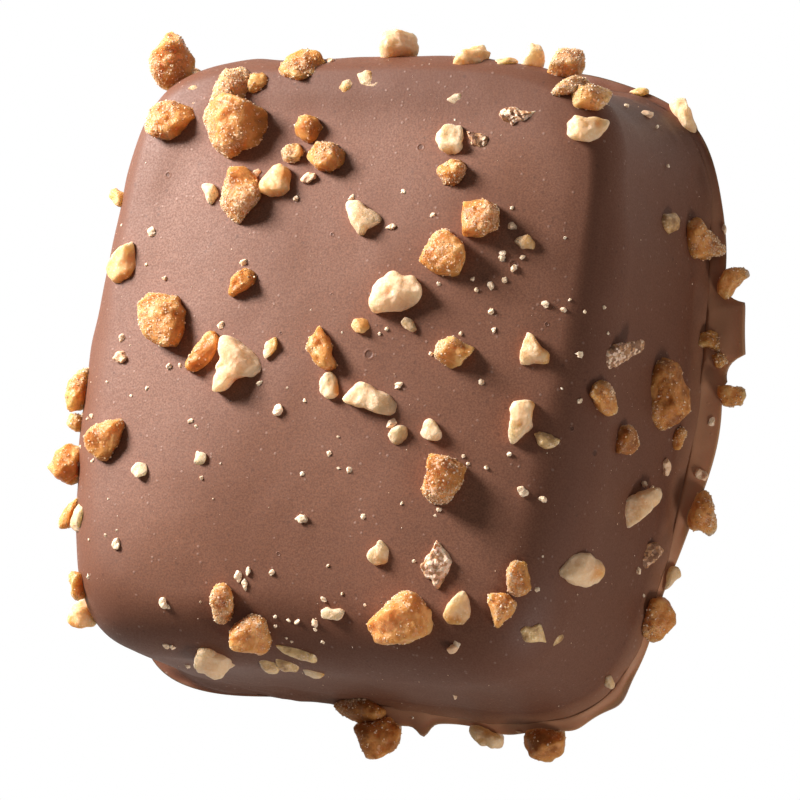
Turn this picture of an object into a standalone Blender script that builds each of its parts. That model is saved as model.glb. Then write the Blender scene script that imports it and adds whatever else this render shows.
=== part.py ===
"""Milk chocolate praline, a soft square cushion on a thin chocolate foot, with brittle and nut bits on it.

Sizes are in millimetres and turned into metres when a mesh is made. +Z is up, and the origin is the
middle of the flat underside. The praline is uncut, so it is one solid. Each bit is a faceted lump whose
corners are given as they are seen from one fixed direction, and is laid on the coat there.
"""

import bmesh
import bpy
import numpy as np

MM = 0.001

# The coated body. The crown is how far the top's middle swells above the height of a flat top.
HEIGHT = 12.22
CROWN = 2.08
HALF_WIDTH = 13.4
HALF_LENGTH = 15.6
SQUARENESS = 5.4
SWELLING = ((1, 0.32, 0.11), (2, 0.40, 0.25), (3, -0.09, -0.18), (4, 0.09, -0.06))
SHOULDER = 2.33
SHOULDER_TO_RIGHT = 0.14
SHOULDER_TO_BACK = -1.26
SHOULDER_CURVE = 2.2
FLARE = 0.64
FLARE_TO_RIGHT = 0.17
FLARE_TO_BACK = 0.33
FLARE_CURVE = 1.8

# The foot, where the coat ran out: each lip is (turn in degrees, extra reach, half angle, sharpness).
FOOT_HEIGHT = 0.5
FOOT_EDGE = 0.28
FOOT_REACH = 0.55
LIPS = (
    (0.0, 0.85, 17.0, 2),
    (16.5, 1.3, 7.5, 8),
    (30.0, 0.40, 9.0, 2),
    (71.0, 0.45, 9.0, 2),
    (110.0, 0.35, 10.0, 2),
    (148.0, 0.30, 12.0, 2),
    (178.0, 0.50, 8.0, 2),
    (-158.0, 0.30, 9.0, 2),
    (-131.0, 0.25, 8.0, 2),
    (-106.0, -0.42, 11.0, 2),
    (-85.0, 0.50, 7.0, 2),
    (-80.2, 0.60, 1.4, 2),
    (-66.0, 0.30, 4.0, 2),
    (-55.3, 0.25, 2.5, 2),
    (-47.0, 0.30, 2.5, 2),
    (-31.0, -0.22, 6.0, 2),
)
# Round bites broken out of the foot: (turn in degrees, distance from the middle, radius).
BITES = ((25.2, 18.35, 1.15), (9.6, 17.55, 1.0))

# Steps down the coat: 0 top middle, 1 shoulder, 2 wall, 3 crease, 4 foot's edge, 5 underside's middle.
BODY_STEPS = (0.45, 0.85, 1.0, 1.25, 1.5, 1.75, 2.0, 2.5, 3.0, 3.7, 4.0, 4.5)
BODY_SIDES = 112
CROWDING = 0.5
CROWDED_TURN = -0.25

# Half a chord for the coat's normals, in radians and steps, and the net of places where a seen bit may sit.
CHORD = 0.01
SAMPLE_TURNS = 360
SAMPLE_STEPS = 150
FIRST_STEP = 0.02
LAST_STEP = 3.95
WALL_STEP = 2.5
CREASE_STEP = 3.0
LEAST_FACING = 0.05

# The fixed direction from which the bits' corners are given, and the scale of their coordinates.
VIEW_AZIMUTH = 69.5
VIEW_ELEVATION = 66.4
VIEW_ROLL = -62.9
VIEW_DISTANCE = 330.0
VIEW_TARGET = (-0.1, -0.9, 6.6)
VIEW_MIDDLE = (368.4, 400.2)
PIXELS_PER_MM = 20.0

# Bits by kind: corners as (across, down) pixels in the 800 by 800 view, in order round each outline.
BRITTLE = {
    "corner diamond": ((173, 31), (184, 43), (193, 58), (189, 72), (166, 87), (157, 83), (150, 66), (162, 49)),
    "top left oval": ((148, 117), (160, 104), (178, 101), (195, 110), (199, 120), (186, 134), (175, 142),
                      (158, 138), (145, 129)),
    "cluster main": ((207, 106), (225, 97), (250, 101), (268, 113), (271, 142), (252, 153), (229, 160),
                     (214, 147), (205, 118)),
    "cluster upper": ((216, 90), (228, 72), (246, 69), (268, 72), (271, 86), (252, 95), (232, 102), (214, 98)),
    "back rim lump": ((279, 70), (286, 62), (301, 50), (317, 53), (327, 67), (316, 80), (301, 83), (284, 78)),
    "ball by cluster": ((294, 125), (300, 118), (311, 116), (321, 124), (322, 136), (314, 143), (304, 144),
                        (296, 136)),
    "frosted by cluster": ((281, 151), (289, 145), (301, 144), (304, 153), (298, 162), (286, 162)),
    "lens by cluster": ((305, 157), (316, 142), (334, 143), (346, 151), (348, 161), (334, 174), (316, 168)),
    "below cluster": ((231, 169), (243, 167), (257, 180), (262, 198), (240, 225), (222, 206), (224, 188)),
    "small amber": ((227, 294), (231, 280), (244, 267), (258, 275), (260, 281), (248, 289), (233, 297)),
    "left big": ((141, 303), (150, 294), (163, 292), (178, 298), (187, 312), (188, 330), (180, 347), (166, 348),
                 (148, 336), (141, 324)),
    "shard by wing": ((186, 364), (191, 355), (206, 334), (213, 331), (220, 338), (220, 349), (205, 367),
                      (190, 372)),
    "middle diamond": ((417, 261), (436, 232), (446, 231), (462, 244), (465, 258), (458, 279), (437, 275)),
    "brown under nut": ((438, 168), (450, 161), (464, 162), (468, 171), (455, 187), (444, 182)),
    "trapezoid": ((463, 200), (485, 200), (500, 211), (498, 228), (480, 239), (462, 237)),
    "sugared shard": ((306, 348), (309, 341), (319, 326), (324, 330), (333, 350), (337, 366), (323, 369),
                      (311, 355)),
    "middle lens": ((435, 352), (439, 343), (449, 337), (463, 342), (475, 347), (460, 366), (444, 365)),
    "frosted diamond": ((430, 455), (455, 458), (468, 467), (463, 483), (447, 505), (433, 503), (422, 493),
                        (428, 472)),
    "left edge lens": ((87, 368), (73, 380), (66, 398), (70, 413), (80, 410), (88, 395), (90, 380)),
    "left edge bump": ((68, 418), (72, 411), (82, 413), (84, 424), (77, 433), (70, 427)),
    "left edge tip": ((49, 466), (58, 453), (72, 441), (82, 446), (84, 474), (70, 485), (62, 482)),
    "left teardrop": ((86, 437), (96, 425), (122, 418), (127, 424), (119, 446), (108, 461), (98, 457), (88, 450)),
    "left edge leaf": ((59, 526), (66, 507), (80, 497), (80, 510), (73, 524), (66, 529)),
    "left low knob": ((70, 576), (77, 571), (87, 576), (90, 592), (84, 600), (77, 598)),
    "low long": ((212, 593), (216, 583), (231, 588), (235, 606), (224, 625), (214, 618)),
    "low diamond": ((229, 645), (231, 630), (250, 614), (266, 615), (274, 643), (263, 655), (250, 649)),
    "low dome": ((368, 627), (371, 619), (388, 602), (400, 592), (418, 594), (430, 604), (435, 625), (428, 634),
                 (404, 643), (382, 645)),
    "low teardrop": ((488, 600), (493, 592), (510, 595), (517, 604), (499, 628), (494, 626)),
    "low frosted": ((507, 575), (510, 563), (525, 562), (530, 583), (525, 595), (510, 592)),
    "hanging upper": ((335, 706), (346, 698), (362, 695), (380, 703), (387, 711), (376, 724), (355, 724)),
    "hanging lower": ((354, 722), (364, 750), (370, 761), (388, 753), (401, 742), (402, 722), (380, 714)),
    "hanging ball": ((526, 732), (545, 727), (567, 730), (565, 748), (549, 762), (534, 757), (525, 746)),
    "arrow": ((681, 221), (697, 216), (706, 229), (724, 250), (720, 255), (690, 260), (679, 247)),
    "antler": ((715, 292), (721, 277), (728, 269), (749, 269), (751, 279), (738, 287), (727, 299)),
    "crumbly upper": ((694, 339), (700, 331), (710, 330), (719, 336), (722, 347), (716, 354), (702, 347)),
    "crumbly lower": ((711, 355), (718, 350), (726, 354), (728, 362), (718, 369)),
    "right edge gold": ((717, 389), (727, 385), (742, 388), (745, 399), (733, 407), (719, 401)),
    "pink wall": ((588, 395), (594, 384), (601, 380), (611, 390), (619, 407), (612, 417), (601, 412)),
    "big dark amber": ((641, 388), (650, 363), (664, 358), (674, 362), (684, 390), (685, 414), (664, 431),
                       (647, 423)),
    "dark wall": ((608, 442), (613, 430), (622, 425), (634, 429), (638, 444), (628, 454), (612, 453)),
    "brown wall": ((669, 446), (671, 435), (683, 427), (685, 434), (678, 449)),
    "right low gold": ((686, 520), (689, 508), (700, 493), (708, 492), (718, 522), (714, 537), (700, 533)),
    "low right orange": ((641, 623), (649, 603), (660, 596), (668, 600), (677, 623), (656, 643), (645, 638)),
    "rim frosted": ((546, 74), (558, 54), (572, 50), (584, 60), (583, 71), (568, 80), (552, 80)),
    "rim frosted low": ((551, 93), (560, 84), (580, 76), (589, 86), (575, 95), (560, 97)),
    "rim gold": ((572, 98), (577, 88), (592, 87), (611, 90), (608, 103), (594, 113), (575, 111)),
}
NUT = {
    "rim kidney left": ((338, 87), (342, 79), (356, 71), (364, 77), (362, 90), (343, 96)),
    "rim kidney right": ((358, 73), (368, 70), (381, 80), (385, 89), (375, 94), (360, 88)),
    "rim block": ((378, 44), (388, 36), (412, 33), (420, 48), (412, 57), (381, 60)),
    "rim golden": ((451, 68), (456, 58), (473, 48), (484, 45), (491, 55), (480, 71), (462, 72)),
    "rim flat tan": ((494, 60), (503, 57), (517, 61), (508, 67), (497, 66)),
    "rim upright": ((527, 46), (534, 42), (542, 47), (547, 66), (522, 66)),
    "top small": ((447, 100), (454, 94), (463, 94), (467, 102), (455, 107)),
    "hexagon": ((435, 140), (440, 129), (452, 123), (463, 130), (466, 143), (452, 158), (441, 149)),
    "rim wedge": ((566, 127), (573, 116), (611, 121), (597, 140), (575, 141)),
    "rim tan lens": ((628, 92), (638, 88), (649, 89), (644, 97)),
    "back corner block": ((669, 104), (685, 97), (692, 115), (699, 131), (685, 132), (675, 120)),
    "left edge tan": ((109, 196), (114, 187), (122, 192), (126, 202), (118, 208)),
    "left tan drop": ((133, 241), (138, 260), (131, 278), (115, 284), (105, 272), (110, 257), (120, 250)),
    "top left tan": ((184, 93), (191, 87), (203, 89), (196, 98), (187, 98)),
    "white by cluster": ((202, 187), (208, 183), (219, 193), (213, 205), (206, 199)),
    "round tan": ((257, 186), (262, 175), (270, 166), (288, 168), (292, 180), (281, 199), (265, 196)),
    "prong shard": ((344, 203), (350, 199), (370, 209), (381, 220), (367, 228), (365, 238), (354, 229)),
    "big bean": ((368, 299), (372, 288), (384, 273), (398, 272), (414, 277), (422, 291), (413, 307), (388, 312),
                 (374, 314)),
    "wing": ((220, 338), (227, 335), (253, 349), (263, 370), (255, 378), (236, 380), (216, 392), (217, 368)),
    "tan by wing": ((262, 350), (268, 341), (277, 337), (278, 347), (265, 359)),
    "low of shard": ((320, 384), (330, 370), (341, 384), (338, 396), (326, 400), (319, 392)),
    "long nut": ((342, 399), (354, 384), (362, 380), (380, 391), (397, 398), (402, 405), (391, 416), (356, 406)),
    "orange heart": ((388, 436), (391, 428), (403, 426), (409, 435), (405, 443), (393, 444)),
    "pebble": ((421, 431), (429, 418), (437, 424), (443, 435), (437, 441), (424, 437)),
    "tan oval": ((350, 326), (355, 319), (366, 319), (370, 328), (363, 334), (353, 332)),
    "two tone wedge": ((401, 322), (407, 317), (419, 330), (414, 334), (404, 328)),
    "triangle": ((527, 332), (535, 336), (550, 355), (546, 364), (520, 366), (520, 351)),
    "tooth": ((508, 406), (520, 400), (534, 403), (532, 432), (516, 446), (509, 442), (511, 424)),
    "translucent bit": ((533, 433), (546, 431), (560, 440), (554, 449), (541, 448)),
    "small tan": ((515, 242), (520, 235), (530, 236), (536, 243), (531, 249), (520, 248)),
    "left white crumb": ((131, 469), (137, 463), (149, 467), (146, 476), (135, 478)),
    "left block": ((193, 463), (196, 450), (207, 454), (202, 467)),
    "frosted drop": ((380, 538), (391, 555), (387, 564), (371, 564), (368, 555)),
    "left edge lobe": ((69, 527), (74, 508), (86, 502), (88, 514), (83, 532)),
    "left low nut": ((79, 599), (88, 606), (97, 624), (84, 628), (70, 623), (69, 607)),
    "wall nut orange top": ((196, 668), (198, 648), (220, 641), (237, 654), (234, 667), (216, 680), (201, 676)),
    "wall small lens": ((301, 667), (310, 664), (326, 673), (318, 679), (306, 676)),
    "low block": ((321, 613), (326, 607), (345, 609), (339, 620), (324, 618)),
    "golden cone": ((442, 617), (454, 598), (464, 589), (471, 607), (464, 627), (450, 625)),
    "wall lens": ((555, 568), (567, 556), (584, 552), (600, 560), (606, 574), (588, 587), (567, 582)),
    "wall wedge": ((612, 500), (640, 492), (661, 488), (656, 503), (627, 527), (616, 518)),
    "hanging lens": ((468, 726), (486, 728), (503, 738), (505, 748), (488, 747), (471, 738)),
    "right low thin": ((664, 590), (668, 570), (675, 566), (682, 578), (674, 583)),
    "corner chip": ((604, 676), (611, 674), (615, 689), (606, 688)),
    "half sunk": ((518, 630), (524, 624), (541, 625), (546, 642), (525, 641)),
}
FLAKES = {
    "crumb patch top": ((196, 106), (199, 97), (214, 88), (216, 98), (206, 106)),
    "flaky patch": ((499, 112), (512, 107), (540, 111), (529, 122), (510, 127)),
    "crumb patch right": ((467, 131), (485, 136), (491, 140), (482, 149), (470, 144)),
    "silvery bar": ((598, 358), (604, 349), (640, 340), (644, 350), (612, 368)),
    "silver flake": ((436, 542), (450, 560), (446, 577), (436, 589), (422, 575), (426, 560)),
    "dark lump": ((657, 220), (666, 213), (681, 217), (680, 229), (670, 235), (661, 227)),
    "brown crumb": ((638, 556), (648, 545), (661, 546), (658, 559), (644, 568)),
    "clear olive left": ((258, 658), (266, 651), (281, 658), (279, 674), (266, 675)),
    "clear olive arm": ((272, 646), (296, 645), (317, 652), (318, 662), (298, 668), (278, 664)),
    "grey half sunk": ((551, 641), (560, 630), (565, 638), (556, 646)),
}
# Share of a bit's breadth that it stands above the coat, by kind, and the most in millimetres.
RISE = {"brittle": 0.72, "nut": 0.60, "flakes": 0.28}
MOST_RISE = 2.2
# Rings of a bit from its crown to its root: share of the outline's width, share of the rise.
FINE_BREADTH = 1.6
FINE_WIDTHS = (0.55, 0.93, 1.0, 0.75)
FINE_HEIGHTS = (0.88, 0.55, 0.1)
PLAIN_WIDTHS = (0.62, 1.0, 0.75)
PLAIN_HEIGHTS = (0.85, 0.25)
ROOT_SHARE = 0.5
ROOT_DEPTH = 0.2
LEAST_ROOT = 0.3

# Bits on the two walls that the fixed direction doesn't reach, at the same density as on the others.
HIDDEN_SEED = 7
HIDDEN_TURNS = (60.0, 250.0)
HIDDEN_COLUMNS = 14
HIDDEN_STEPS = (2.12, 2.38, 2.64, 2.9)
HIDDEN_BREADTH = (0.9, 2.5)
# Where a bit may stray from its place: a column's first offset, shares of a column sideways, steps up or down.
HIDDEN_OFFSET = 0.25
HIDDEN_SIDEWAYS = 0.3
HIDDEN_UPWARD = 0.08
# Its number of corners, their reach as a share of its breadth, and how flat it is.
HIDDEN_CORNERS = (5, 8)
HIDDEN_REACH = (0.45, 0.68)
HIDDEN_SQUASH = (0.65, 1.0)
HIDDEN_CLEARANCE = 2.3
BRITTLE_SHARE = 0.6
OUTLINE_GAP = 2.5

# How near the table a bit may reach: heights under LOWEST are squeezed into the gap above this share of it.
LOWEST = 0.14
LEAST_SHARE = 0.4
SQUEEZE = 0.5

SHARP_ANGLE = 25.0
# Each finish: base colour and roughness.
CHOCOLATE = ((0.195, 0.088, 0.052, 1.0), 0.38)
FINISHES = {
    "brittle": ("caramel brittle", (0.55, 0.24, 0.07, 1.0), 0.45),
    "nut": ("chopped nut", (0.78, 0.60, 0.36, 1.0), 0.6),
    "flakes": ("flakes and crumbs", (0.78, 0.60, 0.36, 1.0), 0.8),
}


def clear_scene():
    for item in list(bpy.data.objects):
        bpy.data.objects.remove(item, do_unlink=True)


def new_collection(name):
    collection = bpy.data.collections.new(name)
    bpy.context.scene.collection.children.link(collection)
    return collection


def new_material(name, colour, roughness):
    material = bpy.data.materials.new(name)
    material.use_nodes = True
    shader = material.node_tree.nodes["Principled BSDF"]
    shader.inputs["Base Color"].default_value = colour
    shader.inputs["Roughness"].default_value = roughness
    shader.inputs["Metallic"].default_value = 0.0
    material.diffuse_color = colour
    return material


def waist(turn):
    """Distance from the middle to the wall's top: a squarish oval with a slow swelling round it."""
    across = np.abs(np.cos(turn)) / HALF_WIDTH
    along = np.abs(np.sin(turn)) / HALF_LENGTH
    reach = (across**SQUARENESS + along**SQUARENESS) ** (-1.0 / SQUARENESS)
    for waves, right, back in SWELLING:
        reach = reach + right * np.cos(waves * turn) + back * np.sin(waves * turn)
    return reach


def crease(turn):
    """Distance from the middle to the crease where the wall meets the foot."""
    return waist(turn) + FLARE + FLARE_TO_RIGHT * np.cos(turn) + FLARE_TO_BACK * np.sin(turn)


def foot(turn):
    """Distance from the middle to the foot's edge, with its lips, less the round bites."""
    reach = crease(turn) + FOOT_REACH
    for at, extra, half, sharpness in LIPS:
        away = (np.degrees(turn) - at + 180.0) % 360.0 - 180.0
        reach = reach + extra * np.exp(-np.abs(away / half) ** sharpness)
    for at, distance, radius in BITES:
        away = turn - np.radians(at)
        inside = radius**2 - (distance * np.sin(away)) ** 2
        facing = (inside > 0) & (np.cos(away) > 0)
        near_side = distance * np.cos(away) - np.sqrt(np.maximum(inside, 0.0))
        reach = np.where(facing, np.minimum(reach, near_side), reach)
    return reach


def coat_point(turn, step):
    """Points of the coat, in millimetres, for arrays of turn (radians) and step (0 to 5).

    A flat top, a superelliptic shoulder, a flaring wall, a thin foot and a flat underside. Above the wall all
    is raised by the crown times one less the squared share of the radius in the waist's.
    """
    shoulder = SHOULDER + SHOULDER_TO_RIGHT * np.cos(turn) + SHOULDER_TO_BACK * np.sin(turn)
    wall, base, edge = waist(turn), crease(turn), foot(turn)

    top_share = np.clip(step, 0.0, 1.0)
    quarter = np.clip(2.0 - step, 0.0, 1.0) * np.pi / 2
    rounding = (np.cos(quarter) ** SHOULDER_CURVE + np.sin(quarter) ** SHOULDER_CURVE) ** (-1.0 / SHOULDER_CURVE)
    down = np.clip(step - 2.0, 0.0, 1.0)
    out = np.clip(step - 3.0, 0.0, 1.0)
    under = np.clip(step - 4.0, 0.0, 1.0)

    radius = (wall - shoulder) * top_share
    radius = np.where(step > 1.0, wall - shoulder * (1.0 - rounding * np.cos(quarter)), radius)
    radius = np.where(step > 2.0, wall + (base - wall) * down**FLARE_CURVE, radius)
    radius = np.where(step > 3.0, base + (edge - base) * out, radius)
    radius = np.where(step > 4.0, edge * (1.0 - under), radius)

    height = np.where(step > 1.0, HEIGHT - shoulder * (1.0 - rounding * np.sin(quarter)), HEIGHT)
    height = height + CROWN * (1.0 - np.clip(radius / wall, 0.0, 1.0) ** 2)
    height = np.where(step > 2.0, (HEIGHT - shoulder) * (1.0 - down) + FOOT_HEIGHT * down, height)
    height = np.where(step > 3.0, FOOT_HEIGHT + (FOOT_EDGE - FOOT_HEIGHT) * out, height)
    height = np.where(step > 4.0, 0.0, height)
    return np.stack([radius * np.cos(turn), radius * np.sin(turn), height], axis=-1)


def coat_normal(turn, step):
    """Unit normals of the coat, from two short chords at each place."""
    around = coat_point(turn + CHORD, step) - coat_point(turn - CHORD, step)
    downward = coat_point(turn, step + CHORD) - coat_point(turn, step - CHORD)
    normal = np.cross(downward, around)
    return normal / np.linalg.norm(normal, axis=-1, keepdims=True)


def view_axes():
    """Right, up and back (towards the eye) of the fixed direction."""
    azimuth, elevation, roll = np.radians((VIEW_AZIMUTH, VIEW_ELEVATION, VIEW_ROLL))
    back = np.array(
        [np.sin(azimuth) * np.cos(elevation), -np.cos(azimuth) * np.cos(elevation), np.sin(elevation)]
    )
    level = np.array([np.cos(azimuth), np.sin(azimuth), 0.0])
    upright = np.cross(back, level)
    right = np.cos(roll) * level + np.sin(roll) * upright
    up = np.cos(roll) * upright - np.sin(roll) * level
    return right, up, back


def seen_at(points):
    """Pixels at which points are seen, and the millimetres that a pixel spans at each."""
    right, up, back = view_axes()
    offset = points - np.array(VIEW_TARGET)
    pixel = (VIEW_DISTANCE - offset @ back) / (VIEW_DISTANCE * PIXELS_PER_MM)
    across = VIEW_MIDDLE[0] + offset @ right / pixel
    down = VIEW_MIDDLE[1] - offset @ up / pixel
    return np.stack([across, down], axis=-1), pixel


def coat_samples():
    """A fine net of the coat's points that the eye sees, with their normals, pixels and pixel spans.

    They face the eye, and the wall above those on the foot does so too.
    """
    turns = np.linspace(-np.pi, np.pi, SAMPLE_TURNS, endpoint=False)
    turns, steps = np.meshgrid(turns, np.linspace(FIRST_STEP, LAST_STEP, SAMPLE_STEPS))
    points = coat_point(turns, steps).reshape(-1, 3)
    normals = coat_normal(turns, steps).reshape(-1, 3)
    walls = coat_normal(turns, np.full_like(steps, WALL_STEP)).reshape(-1, 3)
    back = view_axes()[2]
    facing = (normals @ back > LEAST_FACING) & ((steps.reshape(-1) < CREASE_STEP) | (walls @ back > 0.0))
    pixels, spans = seen_at(points)
    return points[facing], normals[facing], pixels[facing], spans[facing]


def unit(vector):
    return vector / np.linalg.norm(vector)


def breadth_of(corners):
    """Square root of the area of a flat outline in space."""
    spokes = corners - corners.mean(axis=0)
    crosses = np.cross(spokes, np.roll(spokes, -1, axis=0))
    return np.sqrt(np.linalg.norm(crosses.sum(axis=0)) / 2)


def above_table(height):
    """Keeps a bit off the table: what would reach under LOWEST is squeezed into the gap below it."""
    if height >= LOWEST:
        return height
    return LOWEST * (LEAST_SHARE + (1.0 - LEAST_SHARE) / (1.0 + (LOWEST - height) / SQUEEZE))


def in_turn(corners, stand):
    """Corners put in anticlockwise order about the direction in which a bit stands."""
    spokes = corners - corners.mean(axis=0)
    first = unit(np.cross(stand, spokes[0]))
    second = np.cross(stand, first)
    return corners[np.argsort(np.arctan2(spokes @ second, spokes @ first))]


def lump(name, corners, stand, rise, root, material, collection):
    """A sphere whose rings take a bit's outline: corners round its waist, a smaller crown, a root in the coat."""
    corners = in_turn(corners, stand)
    count = len(corners)
    fine = breadth_of(corners) > FINE_BREADTH
    widths = FINE_WIDTHS if fine else PLAIN_WIDTHS
    heights = FINE_HEIGHTS if fine else PLAIN_HEIGHTS
    bands = len(widths) + 1
    middle = corners.mean(axis=0)
    shape = bmesh.new()
    bmesh.ops.create_uvsphere(shape, u_segments=count, v_segments=bands, radius=1.0)
    for vertex in shape.verts:
        ring = round(np.arccos(np.clip(vertex.co.z, -1.0, 1.0)) * bands / np.pi)
        side = round(np.arctan2(vertex.co.y, vertex.co.x) * count / (2 * np.pi)) % count
        if ring == 0:
            place = middle + stand * rise
        elif ring == bands:
            place = root
        elif ring == bands - 1:
            place = middle + ROOT_SHARE * (root - middle) + widths[-1] * (corners[side] - middle)
        else:
            place = middle + widths[ring - 1] * (corners[side] - middle) + stand * heights[ring - 1] * rise
        vertex.co = np.array([place[0], place[1], above_table(place[2])]) * MM
    bmesh.ops.triangulate(shape, faces=shape.faces)
    mesh = bpy.data.meshes.new(name)
    shape.to_mesh(mesh)
    shape.free()
    mesh.materials.append(material)
    made = bpy.data.objects.new(name, mesh)
    collection.objects.link(made)


def seen_bit(name, outline, kind, samples, material, collection):
    """Lays a bit on the coat where it is seen, tilted half way between the coat and the eye."""
    points, normals, pixels, spans = samples
    right, up, back = view_axes()
    outline = np.array(outline, float)
    nearest = np.argmin(((pixels - outline.mean(axis=0)) ** 2).sum(axis=1))
    anchor, span = points[nearest], spans[nearest]
    lean = unit(normals[nearest] + back)
    offsets = (outline - pixels[nearest]) * span
    flat = offsets[:, :1] * right - offsets[:, 1:] * up
    corners = anchor + flat - np.outer(flat @ lean / (back @ lean), back)
    rise = min(RISE[kind] * breadth_of(corners), MOST_RISE)
    root = anchor - normals[nearest] * (LEAST_ROOT + ROOT_DEPTH * breadth_of(corners))
    lump(name, corners, unit(lean + back), rise, root, material, collection)
    return anchor


def out_of_view(points, pixels):
    """Whether points that face away also stay inside the outline of the coat as it is seen."""
    seen, _ = seen_at(points)
    gaps = np.linalg.norm(seen[:, None, :] - pixels[None, :, :], axis=-1).min(axis=1)
    return gaps.max() < OUTLINE_GAP


def hidden_bits(taken, pixels, materials, collection):
    """Spreads seeded bits over the two walls out of view, clear of each other and of the outline."""
    draw = np.random.default_rng(HIDDEN_SEED)
    for row, level in enumerate(HIDDEN_STEPS):
        for column in range(HIDDEN_COLUMNS):
            place = column + 0.5 * (row % 2) + HIDDEN_OFFSET + draw.uniform(-HIDDEN_SIDEWAYS, HIDDEN_SIDEWAYS)
            share = place / HIDDEN_COLUMNS
            turn = np.radians(HIDDEN_TURNS[0] + share * (HIDDEN_TURNS[1] - HIDDEN_TURNS[0]))
            anchor = coat_point(turn, level + draw.uniform(-HIDDEN_UPWARD, HIDDEN_UPWARD))
            outward = coat_normal(turn, level)
            level_axis = unit(np.cross(np.array([0.0, 0.0, 1.0]), outward))
            rising_axis = np.cross(outward, level_axis)
            breadth = draw.uniform(*HIDDEN_BREADTH)
            count = int(draw.integers(*HIDDEN_CORNERS))
            reach = breadth * draw.uniform(*HIDDEN_REACH, count)
            squash = draw.uniform(*HIDDEN_SQUASH)
            bearing = draw.uniform(0.0, 2 * np.pi) + np.arange(count) * 2 * np.pi / count
            across = np.outer(reach * np.cos(bearing), level_axis)
            upward = np.outer(squash * reach * np.sin(bearing), rising_axis)
            corners = anchor + across + upward
            kind = "brittle" if draw.random() < BRITTLE_SHARE else "nut"
            rise = RISE[kind] * breadth_of(corners)
            crowded = min(np.linalg.norm(anchor - place) for place in taken) < HIDDEN_CLEARANCE
            if crowded or not out_of_view(corners + outward * rise, pixels):
                continue
            root = anchor - outward * (LEAST_ROOT + ROOT_DEPTH * breadth_of(corners))
            lump(f"hidden {kind} {row} {column}", corners, outward, rise, root, materials[kind], collection)
            taken.append(anchor)


def coated_body(material, collection):
    """A sphere whose rings are moved onto the coat, with its sides crowded towards the torn foot."""
    bands = len(BODY_STEPS) + 1
    shape = bmesh.new()
    bmesh.ops.create_uvsphere(shape, u_segments=BODY_SIDES, v_segments=bands, radius=1.0)
    for vertex in shape.verts:
        ring = round(np.arccos(np.clip(vertex.co.z, -1.0, 1.0)) * bands / np.pi)
        even = np.arctan2(vertex.co.y, vertex.co.x)
        turn = even - CROWDING * np.sin(even - CROWDED_TURN)
        step = {0: 0.0, bands: 5.0}.get(ring) if ring in (0, bands) else BODY_STEPS[ring - 1]
        vertex.co = coat_point(turn, step) * MM
    bmesh.ops.triangulate(shape, faces=shape.faces)
    mesh = bpy.data.meshes.new("praline")
    shape.to_mesh(mesh)
    shape.free()
    mesh.materials.append(material)
    body = bpy.data.objects.new("praline", mesh)
    collection.objects.link(body)
    return body


def keep_largest_shell(body):
    """Drops the small shells that a union can leave, which fills sealed hollows and clears loose scraps."""
    shape = bmesh.new()
    shape.from_mesh(body.data)
    unseen = set(shape.verts)
    shells = []
    while unseen:
        shell = set()
        front = [unseen.pop()]
        while front:
            vertex = front.pop()
            shell.add(vertex)
            linked = {edge.other_vert(vertex) for edge in vertex.link_edges} & unseen
            unseen -= linked
            front.extend(linked)
        shells.append(shell)
    largest = max(shells, key=len)
    scraps = [vertex for shell in shells if shell is not largest for vertex in shell]
    bmesh.ops.delete(shape, geom=scraps, context="VERTS")
    shape.to_mesh(body.data)
    shape.free()


def fuse(body, bits):
    """Joins the bits to the body in one union, then removes them."""
    union = body.modifiers.new("bits", "BOOLEAN")
    union.operation = "UNION"
    union.operand_type = "COLLECTION"
    union.collection = bits
    union.solver = "EXACT"
    union.material_mode = "TRANSFER"
    bpy.context.view_layer.objects.active = body
    bpy.ops.object.modifier_apply(modifier=union.name)
    for item in list(bits.objects):
        bpy.data.objects.remove(item, do_unlink=True)
    bpy.data.collections.remove(bits)


def shade(body):
    """Shades the coat round and the bits' facets flat, weighing normals by area so that long faces look even."""
    body.data.shade_smooth()
    body.data.set_sharp_from_angle(angle=np.radians(SHARP_ANGLE))
    weighing = body.modifiers.new("normals by area", "WEIGHTED_NORMAL")
    weighing.mode = "FACE_AREA"
    weighing.keep_sharp = True


def main():
    clear_scene()
    part = new_collection("chocolate praline")
    bits = new_collection("bits")
    chocolate = new_material("milk chocolate", *CHOCOLATE)
    materials = {kind: new_material(*finish) for kind, finish in FINISHES.items()}
    body = coated_body(chocolate, part)
    samples = coat_samples()
    taken = []
    for kind, outlines in (("brittle", BRITTLE), ("nut", NUT), ("flakes", FLAKES)):
        for name, outline in outlines.items():
            taken.append(seen_bit(name, outline, kind, samples, materials[kind], bits))
    hidden_bits(taken, samples[2], materials, bits)
    fuse(body, bits)
    keep_largest_shell(body)
    shade(body)


main()
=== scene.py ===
"""Look of a milk chocolate praline strewn with caramel brittle and chopped nuts.

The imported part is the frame. Everything that shows is rebuilt here as fine meshes in the same place: the
chocolate coat, the bits of each kind, their sugar and the loose grains. Shapes are worked out in
millimetres and turned into metres when a mesh is made. A bit is laid on the coat where it is seen from one
fixed direction, and its corners are given in pixels of that view, 800 by 800.
"""

from typing import NamedTuple

import bpy
import numpy as np
from bpy.props import FloatProperty, FloatVectorProperty, IntProperty, PointerProperty
from bpy.types import Operator, Panel, PropertyGroup
from mathutils import Matrix


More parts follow.
